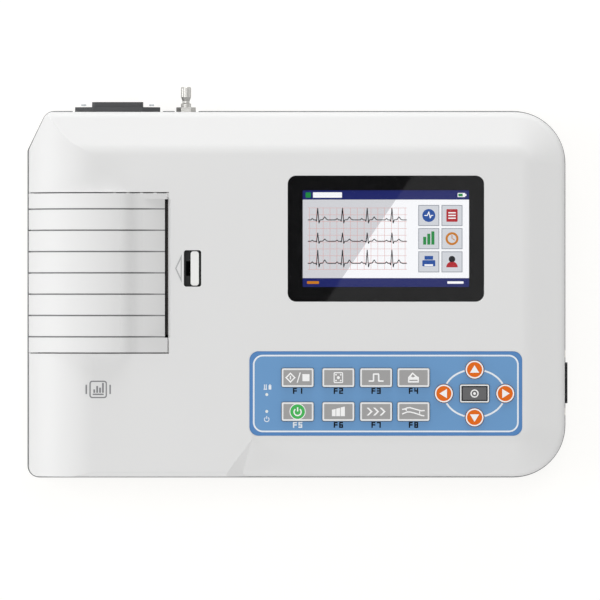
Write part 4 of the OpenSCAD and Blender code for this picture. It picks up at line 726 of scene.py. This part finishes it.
glow_white = lit("lit white", "#F7F8FB", 1.06)
glow_pale = lit("lit pale grey", "#F5F6FB", 0.74)
glow_navy = lit("lit navy", "#1C2468")
glow_tile = lit("lit grey", "#D5D8DE")
glow_rim = lit("lit dark grey", "#9499A3")
glow_grid = lit("lit rose", "#DDA9A6")
glow_red = lit("lit red", "#B3202A")
glow_blue = lit("lit blue", "#1F4F9E")
glow_green = lit("lit green", "#1F8A42")
glow_amber = lit("lit amber", "#C97A1C")
glow_ink = lit("lit black", "#10121A")
dark_panel = moulded("unlit display panel", "#15161C", 0.3, 0.4, 0.05)
dress("lcd_panel", dark_panel)

panel_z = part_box("lcd_panel")[1].z / MM
W, D = LIT
levels = [panel_z + 0.02 + 0.03 * i for i in range(5)]


def beat(x, y, w, h):
    """One heartbeat of a trace as path points: rest, small wave, spike, broad wave, rest."""
    shape = [(0.0, 0.0), (0.12, 0.0), (0.18, 0.12), (0.24, 0.0), (0.32, 0.0), (0.35, -0.12), (0.40, 1.0),
             (0.45, -0.28), (0.49, 0.0), (0.60, 0.02), (0.68, 0.26), (0.76, 0.05), (0.82, 0.0), (1.0, 0.0)]
    return [(x + w * u, y + h * v) for u, v in shape]


def glare_edge_x(y):
    """Where the painted glare, the whiter lower right of the picture, starts, in mm from the picture's
    middle; it follows the glare card's edge.
    """
    up = (window[1] - case_y) / MM + y
    lean = (up - edge_low.y) * (edge_top.x - edge_low.x) / (edge_top.y - edge_low.y)
    return edge_low.x + lean - (window[0] - case_x) / MM


GRID_STEP, GRID_LINE, GRID_HIGH = 4.0, 0.22, 36.4
TRACE_LINE, BEATS = 0.5, 4
BAR_TOP, BAR_LOW = D / 2 - 2.7, -D / 2 + 2.6
trace_x, trace_w = -W / 2 + 3, 58.0
grid_rows = [box_loop(trace_x + trace_w / 2, -18 + GRID_STEP * i, trace_w, GRID_LINE) for i in range(10)]
grid_columns = [box_loop(trace_x + GRID_STEP * i + 1, 0, GRID_LINE, GRID_HIGH) for i in range(15)]
traces = []
for row, height in ((13.0, 7.0), (0.5, 5.0), (-12.5, 8.0)):
    path = []
    for i in range(BEATS):
        path += beat(trace_x + i * trace_w / BEATS, row - 2, trace_w / BEATS, height)[(1 if i else 0):]
    traces.append(ribbon(path, TRACE_LINE))
painted_glare_half = [(glare_edge_x(D / 2), D / 2), (glare_edge_x(-D / 2), -D / 2), (W / 2, -D / 2), (W / 2, D / 2)]
ground, first = levels[0], levels[0] + 0.005
# The picture's whiter half at the lower right is painted glare, lined up with the glare card's edge.
printed("display_picture", [
    (glow_pale, ground - 0.02, ground, [box_loop(0, 0, W, D)]),
    (glow_white, ground - 0.01, ground + 0.003, [painted_glare_half]),
    (glow_navy, first, levels[1], [box_loop(0, BAR_TOP, W, 5.4), box_loop(0, BAR_LOW, W, 5.2)]),
    (glow_grid, first, levels[1] - 0.01, grid_rows),
    (glow_grid, first, levels[1] - 0.02, grid_columns),
    (glow_ink, levels[1], levels[2], traces),
    (glow_green, levels[2], levels[3], [box_loop(-W / 2 + 3.2, BAR_TOP, 3.0, 3.0, 0.4)]),
    (glow_white, levels[2], levels[3], [
        box_loop(-W / 2 + 14.5, BAR_TOP, 17, 3.2, 0.3), box_loop(W / 2 - 4.5, BAR_TOP, 4.4, 2.4, 0.3),
        box_loop(W / 2 - 1.9, BAR_TOP, 0.6, 1.2), box_loop(W / 2 - 8, BAR_LOW, 9.5, 1.4, 0.3)]),
    (glow_green, levels[3], levels[4], [box_loop(W / 2 - 5.0, BAR_TOP, 2.6, 1.6)]),
    (glow_amber, levels[2], levels[3], [box_loop(-W / 2 + 6, BAR_LOW, 7, 1.6, 0.4)]),
], "case", window)

# Display tiles: a grid of shaded buttons on the right of the picture, each with one
# plain coloured mark.
tree, given, result = group("display tiles", Columns="Int", Rows="Int", Pitch_X="Float", Pitch_Y="Float",
                            Size="Float", Rim="Float", Face="Material", Edge="Material")
spans = []
for pitch, number in (("Pitch X", "Columns"), ("Pitch Y", "Rows")):
    back = add(tree, "ShaderNodeMath", {"operation": "MULTIPLY"}, _0=given[pitch], _1=-1.0)
    spans.append(add(tree, "ShaderNodeMath", {"operation": "MULTIPLY_ADD"}, _0=given[number],
                     _1=given[pitch], _2=back.outputs[0]).outputs[0])
spots = add(tree, "GeometryNodeMeshGrid", Size_X=spans[0], Size_Y=spans[1], Vertices_X=given["Columns"],
            Vertices_Y=given["Rows"])
both = add(tree, "GeometryNodeJoinGeometry")
for finish, lift, part in (("Face", 0.05, 1.0), ("Edge", 0.0, 1.08)):
    side = add(tree, "ShaderNodeMath", {"operation": "MULTIPLY"}, _0=given["Size"], _1=part)
    size = add(tree, "ShaderNodeCombineXYZ", X=side.outputs[0], Y=side.outputs[0], Z=given["Rim"])
    tile = add(tree, "GeometryNodeMeshCube", Size=size.outputs[0])
    raised = add(tree, "GeometryNodeTransform", Geometry=tile.outputs["Mesh"], Translation=(0, 0, lift * MM))
    coloured = add(tree, "GeometryNodeSetMaterial", Geometry=raised.outputs[0], Material=given[finish])
    tree.links.new(coloured.outputs[0], both.inputs[0])
laid = add(tree, "GeometryNodeInstanceOnPoints", Points=spots.outputs["Mesh"], Instance=both.outputs[0])
solid = add(tree, "GeometryNodeRealizeInstances", Geometry=laid.outputs[0])
tree.links.new(solid.outputs[0], result[0])
TILE, PITCH, TILE_RIM, TILE_LIFT = 11.4, 13.6, 0.06, 0.08
tiles_at = (W / 2 - 16.8, 0.0)
tiles = grown("display_tiles", [(0, 0, 0)], tree, Columns=2, Rows=3, Pitch_X=PITCH * MM, Pitch_Y=PITCH * MM,
              Size=TILE * MM, Rim=TILE_RIM * MM, Face=glow_tile, Edge=glow_rim)
tiles.data.transform(Matrix.Translation((window[0] + tiles_at[0] * MM, window[1] + tiles_at[1] * MM,
                                         (panel_z + TILE_LIFT) * MM)))
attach(tiles, "case")
spots = [(tiles_at[0] + PITCH * (c - 0.5), tiles_at[1] + PITCH * (1 - r)) for r in range(3) for c in range(2)]
mark_z = (panel_z + 0.17, panel_z + 0.20)
mark_top = (panel_z + 0.21, panel_z + 0.23)
(x0, y0), (x1, y1), (x2, y2), (x3, y3), (x4, y4), (x5, y5) = spots
blip = [(x0 - 2.6, y0), (x0 - 0.8, y0), (x0, y0 + 2.2), (x0 + 0.9, y0 - 1.6), (x0 + 1.4, y0), (x0 + 2.6, y0)]
clock_hands = [[(x3, y3), (x3, y3 + 2.1)], [(x3 + 0.35, y3), (x3 + 1.6, y3 - 0.9)]]
printed("display_marks", [
    (glow_blue, *mark_z, [oval(x0, y0, 3.8)]),
    (glow_white, *mark_top, [ribbon(blip, 0.5)]),
    (glow_red, *mark_z, [box_loop(x1, y1, 6.6, 7.4, 0.5)]),
    (glow_white, *mark_top, [box_loop(x1, y1 + up, 4.4, 0.7) for up in (1.6, 0, -1.6)]),
    (glow_green, *mark_z, [box_loop(x2 - 2.4, y2 - 1.2, 1.8, 4.6), box_loop(x2, y2 - 0.3, 1.8, 6.4),
                           box_loop(x2 + 2.4, y2 + 0.4, 1.8, 7.8)]),
    (glow_amber, *mark_z, [oval(x3, y3, 3.8), oval(x3, y3, 2.5)]),
    (glow_amber, *mark_top, [ribbon(hand, 0.5) for hand in clock_hands]),
    (glow_blue, *mark_z, [box_loop(x4, y4 - 0.8, 7.6, 3.6, 0.4), box_loop(x4, y4 + 2.4, 5.0, 2.2, 0.2)]),
    (glow_white, *mark_top, [box_loop(x4, y4 - 1.9, 5.0, 1.0)]),
    (glow_ink, *mark_z, [oval(x5, y5 + 1.6, 1.9)]),
    (glow_red, *mark_z, [arc(x5, y5 - 3.2, 3.4, 0, 180)]),
], "case", window)

# Keypad: a polyester sheet with a velvet upper face. It is printed blue, with a darker
# edge band, a fine white line, and four arcs round the centre key.
film_low, film_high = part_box("keypad_panel")
panel = middle("keypad_panel")
panel_size = [(film_high[i] - film_low[i]) / MM for i in (0, 1)]
film_z = film_high.z / MM
velvet_blue = moulded("velvet polyester, blue", "#6598CA", 0.5, 0.5, 0.25)
edge_blue = moulded("velvet polyester, edge blue", "#4B82BE", 0.5, 0.5, 0.25)
white_ink = ink("white screen ink", "#EDF2F7")
black_ink = ink("black screen ink", "#06080D", 0.7, sheen=0.15)
dress("keypad_panel", edge_blue)


def rel(node):
    """A node's middle, in mm from the panel's middle."""
    x, y = middle(node)
    return (x - panel[0]) / MM, (y - panel[1]) / MM


def cap_size(node):
    """The flat top of a key's cap, inside its bevels, in mm."""
    low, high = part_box(node)
    return [(high[i] - low[i]) / MM - CAP_BEVELS for i in (0, 1)]


FUNCTION_KEYS = ("key_start", "key_mode", "key_calibrate", "key_print", "key_power", "key_gain", "key_speed",
                 "key_filter")
ARROW_KEYS = ("key_up", "key_down", "key_left", "key_right")
CAP_BEVELS, CAP_R, FIT = 2.2, 1.3, 0.3
LED_X, LED_YS, LED_R = -69.8, (-0.6, -10.5), 0.9
key_size = cap_size("key_start")
centre_size = cap_size("key_centre")
arrow_r = cap_size("key_up")[0] / 2
holes = [box_loop(*rel(key), key_size[0] + 2 * FIT, key_size[1] + 2 * FIT, CAP_R) for key in FUNCTION_KEYS]
holes += [oval(*rel(key), arrow_r + FIT) for key in ARROW_KEYS]
holes += [box_loop(*rel("key_centre"), centre_size[0] + 2 * FIT, centre_size[1] + 2 * FIT, CAP_R)]
holes += [oval(LED_X, y, LED_R, n=20) for y in LED_YS]


def inner_loop(inset, r, n):
    """A loop that keeps one distance from the panel's edge."""
    return box_loop(0, 0, panel_size[0] - 2 * inset, panel_size[1] - 2 * inset, r, n)


LINE_IN, LINE_W = 2.0, 0.95
INK_LOW, FIELD_HIGH, LINE_HIGH = 0.01, 0.04, 0.05
field = [inner_loop(LINE_IN + LINE_W, 4.9, 12)] + holes
printed("panel_field", [(velvet_blue, film_z + INK_LOW, film_z + FIELD_HIGH, field)],
        "case", panel)
ring_c = rel("key_centre")
RING_RX, RING_RY, RING_W = 17.9, 14.0, 1.05


def ring_arc(start, end, n=14):
    """One stretch of the oval ring round the centre key, between two angles in degrees."""
    turns = [math.radians(start + (end - start) * i / n) for i in range(n + 1)]
    path = [(ring_c[0] + RING_RX * math.cos(a), ring_c[1] + RING_RY * math.sin(a)) for a in turns]
    return ribbon(path, RING_W)


arcs = [ring_arc(start, end) for start, end in ((24, 71), (109, 156), (204, 251), (289, 336))]
ink_z = (film_z + 0.045, film_z + 0.07)
printed("panel_lines", [
    (white_ink, film_z + INK_LOW, film_z + LINE_HIGH, [
        inner_loop(LINE_IN, 5.8, 14), inner_loop(LINE_IN + LINE_W, 4.9, 14)]),
    (white_ink, *ink_z, arcs),
], "case", panel)


# Key numbers F1 to F8, in plain bold block figures, and two small marks beside the
# indicators. Upright and level bars are two layers, so that they may overlap.
UPRIGHT = {"a": (-0.75, 0.85), "c": (0.75, 0.85), "d": (-0.75, -0.85), "e": (0.75, -0.85)}
LEVEL = {"t": 1.35, "m": 0.0, "b": -1.35}
SHAPES = {"F": "tmad", "1": "ce", "2": "tmbcd", "3": "tmbce", "4": "mace", "5": "tmbae", "6": "tmbade",
          "7": "tce", "8": "tmbacde"}
UPRIGHT_SIZE, LEVEL_SIZE = (0.8, 1.7), (2.3, 0.8)
FIGURE_PITCH, FIGURE_DROP, LAYER_STEP = 3.2, 2.3, 0.003


def figures(text, centre):
    """A key number, as the outlines of its upright bars and of its level bars in mm."""
    x, y = centre
    half = (len(text) - 1) / 2
    signs = [(x + (i - half) * FIGURE_PITCH, SHAPES[sign]) for i, sign in enumerate(text)]
    return ([box_loop(sx + UPRIGHT[bar][0], y + UPRIGHT[bar][1], *UPRIGHT_SIZE)
             for sx, bars in signs for bar in bars if bar in UPRIGHT],
            [box_loop(sx, y + LEVEL[bar], *LEVEL_SIZE) for sx, bars in signs for bar in bars if bar in LEVEL])


figure_layers = []
for index, key in enumerate(FUNCTION_KEYS):
    kx, ky = rel(key)
    colour = white_ink if key == "key_power" else black_ink
    for step, bars in enumerate(figures("F" + str(index + 1), (kx, ky - key_size[1] / 2 - FIGURE_DROP))):
        if bars:
            figure_layers.append((colour, ink_z[0], ink_z[1] + LAYER_STEP * step, bars))
plug_mark = [box_loop(LED_X - 1.3, 4.0, 0.5, 2.6), box_loop(LED_X - 0.3, 4.0, 0.5, 2.6),
             box_loop(LED_X - 0.8, 2.5, 2.0, 0.6)]
cell_mark = [box_loop(LED_X + 1.9, 3.6, 1.6, 2.6, 0.2), box_loop(LED_X + 1.9, 5.2, 0.7, 0.4)]
power_mark = [ribbon(arc(LED_X, -15.2, 1.35, 125, 415, 20), 0.45),
              ribbon([(LED_X, -14.9), (LED_X, -13.2)], 0.45)]
figure_layers.append((white_ink, *ink_z, plug_mark + cell_mark + power_mark))
printed("panel_figures", figure_layers, "case", panel)

# Indicators: light guides of clear polycarbonate, frosted on top.
frosted = moulded("frosted polycarbonate", "#EEF3F0", 0.55, 0.4, 0.3)
dress("indicator_lenses", frosted)

# Function keys: grey ABS caps with a pale printed frame and a white pictogram.
key_grey = moulded("grey ABS key", "#A09F9F", 0.48, 0.5, 0.25)
frame_ink = ink("pale grey frame ink", "#EDEEEF")
key_white = ink("white key ink", "#FAFAFA")
power_green = ink("green key ink", "#2FB04A")
key_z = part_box("key_start")[1].z / MM
KEY_LOW, KEY_HIGH = 0.01, 0.05
cap_ink = (key_z + KEY_LOW, key_z + KEY_HIGH)
w, d = key_size
key_frame = [box_loop(0, 0, w - 0.12, d - 0.12, 0.95), box_loop(0, 0, w - 2.1, d - 2.1, 0.35)]
wave_top = [(-6.7, 1.3), (-5.2, 1.5), (-3.6, 2.2), (-2.0, 2.3), (0.5, 1.6), (3.0, 0.9), (4.6, 0.5),
            (6.6, 0.6)]
wave_low = [(-6.7, -1.4), (-5.4, -0.9), (-3.6, -0.2), (-2.0, -0.2), (0.5, -0.8), (3.0, -1.6), (4.8, -2.3),
            (6.4, -2.5)]
pulse = [(-4.4, -2.0), (-1.5, -2.0), (-1.5, 2.1), (1.5, 2.1), (1.5, -2.0), (4.4, -2.0)]
icons = {
    "key_start": [
        [(-7.3, 0), (-4.2, 3.1), (-1.1, 0), (-4.2, -3.1)], [(-6.2, 0), (-4.2, -2.0), (-2.2, 0), (-4.2, 2.0)],
        box_loop(-4.2, 0, 0.7, 2.1), [(-0.6, -3.0), (0.1, -3.0), (1.9, 3.0), (1.2, 3.0)],
        box_loop(4.9, 0, 4.2, 4.2)],
    "key_mode": [box_loop(0, 0, 5.6, 6.4, 0.8), box_loop(0, 0, 4.4, 5.2, 0.3), oval(0, 0, 0.9, n=16)]
                + [oval(x, y, 0.5, n=12) for x in (-1.4, 1.4) for y in (-1.7, 1.7)],
    "key_calibrate": [ribbon(pulse, 0.9)],
    "key_print": [
        [(-3.2, -2.9), (3.2, -2.9), (3.2, 0.2), (1.9, 1.0), (-0.6, 3.1), (-2.6, 0.9), (-3.2, 0.2)],
        [(-0.2, 0.1), (1.0, 0.8), (-0.5, 2.0), (-1.5, 0.6)], box_loop(0, -1.6, 4.8, 0.7)],
    "key_gain": [
        [(-3.8, -2.7), (-1.6, -2.7), (-1.6, 1.6), (-3.8, 1.1)],
        [(-1.3, -2.7), (1.0, -2.7), (1.0, 2.3), (-1.3, 1.7)],
        [(1.3, -2.7), (3.8, -2.7), (3.8, 3.0), (1.3, 2.4)]],
    "key_speed": [
        [(x - 2.0, -2.3), (x - 0.7, -2.3), (x + 1.6, 0), (x - 0.7, 2.3), (x - 2.0, 2.3), (x + 0.3, 0)]
        for x in (-3.6, 0.2, 4.0)],
    "key_filter": [ribbon(wave_top, 0.75), ribbon(wave_low, 0.75), box_loop(-3.6, 1.0, 0.55, 1.5),
                   box_loop(3.6, -0.5, 0.55, 1.5)],
    "key_power": [ribbon(arc(0, -0.2, 2.1, 130, 410, 24), 0.75), ribbon([(0, 0.1), (0, 2.5)], 0.75)],
}
POWER_RING, POWER_DISC, ICON_HIGH = 4.75, 4.3, 0.08
for key in FUNCTION_KEYS:
    dress(key, key_grey)
    layers = [(frame_ink, *cap_ink, key_frame)]
    icon_low = KEY_LOW
    if key == "key_power":
        disc = oval(0, 0, POWER_DISC, n=48)
        layers += [(key_white, cap_ink[0], key_z + 0.06, [oval(0, 0, POWER_RING, n=48), disc]),
                   (power_green, *cap_ink, [disc])]
        icon_low = 0.055
    layers += [(key_white, key_z + icon_low, key_z + ICON_HIGH, icons[key])]
    printed(key + "_print", layers, key, middle(key))

# Arrow keys: orange ABS discs with a white ring and a white triangle.
key_orange = moulded("orange ABS key", "#E96C06", 0.45, 0.5, 0.2, sheen=0.2)
arrow_ring = [oval(0, 0, arrow_r - 0.06, n=48), oval(0, 0, arrow_r - 0.85, n=48)]
for key, turn in zip(ARROW_KEYS, (0, 180, 90, 270)):
    dress(key, key_orange)
    c, s = math.cos(math.radians(turn)), math.sin(math.radians(turn))
    tip = [(x * c - y * s, x * s + y * c) for x, y in ((0, 2.6), (-2.7, -1.8), (2.7, -1.8))]
    printed(key + "_print", [(key_white, *cap_ink, arrow_ring), (key_white, *cap_ink, [tip])],
            key, middle(key))

# Centre key: dark grey ABS with a pale frame and a plain ring and dot.
key_dark = moulded("dark grey ABS key", "#5A5A5C", 0.45, 0.5, 0.25)
dress("key_centre", key_dark)
w, d = centre_size
frame_inside = box_loop(0, 0, w - 1.7, d - 1.7, 0.4)
printed("key_centre_print", [
    (frame_ink, *cap_ink, [box_loop(0, 0, w - 0.12, d - 0.12, 0.95), frame_inside]),
    (black_ink, cap_ink[0], key_z + 0.04, [frame_inside, box_loop(0, 0, w - 3.1, d - 3.1, 0.2)]),
    (key_white, *cap_ink, [oval(0, 0, 2.4), oval(0, 0, 1.7), oval(0, 0, 0.8, n=24)]),
], "key_centre", middle("key_centre"))

# Sign on the case: a small grey pad print of framed bars between two side marks, at
# the front left.
sign_grey = ink("grey pad print", "#7E7F82")
SIGN_AT = (-116.188, -55.803)
sign = (case_x + SIGN_AT[0] * MM, case_y + SIGN_AT[1] * MM)
face_z = top_z / MM
printed("case_sign", [(sign_grey, face_z + 0.01, face_z + 0.04, [
    box_loop(0, 0, 10.2, 10.2, 1.6), box_loop(0, 0, 8.8, 8.8, 1.0), box_loop(-7.0, 0, 0.8, 5.4),
    box_loop(7.0, 0, 0.8, 5.4), box_loop(0, -2.9, 6.4, 0.8), box_loop(-2.3, -1.0, 1.0, 2.0),
    box_loop(-0.6, 0.0, 1.0, 4.0), box_loop(1.1, -0.5, 1.0, 3.0), box_loop(2.8, 0.9, 1.0, 5.8)])],
    "case", sign)

# Arrow beside the release slide: a moulded outline, filled with light grey paint that
# stays a little below the face; the grey is painted shade in the outline.
arrow_shade_grey = ink("light grey fill paint", "#BDBEBF")
PAINT_LOW, PAINT_HIGH, ARROW_BASE = -0.33, -0.29, 1.2
arrow_at = (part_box("release_recess")[0].x - ARROW_BASE * MM, middle("release_recess")[1])
arrow_loops = [[(0, -8.4), (-3.9, 0), (0, 8.4)], [(-0.6, -5.2), (-3.05, 0), (-0.6, 5.2)]]
printed("release_arrow", [(arrow_shade_grey, face_z + PAINT_LOW, face_z + PAINT_HIGH, arrow_loops)],
        "case", arrow_at)
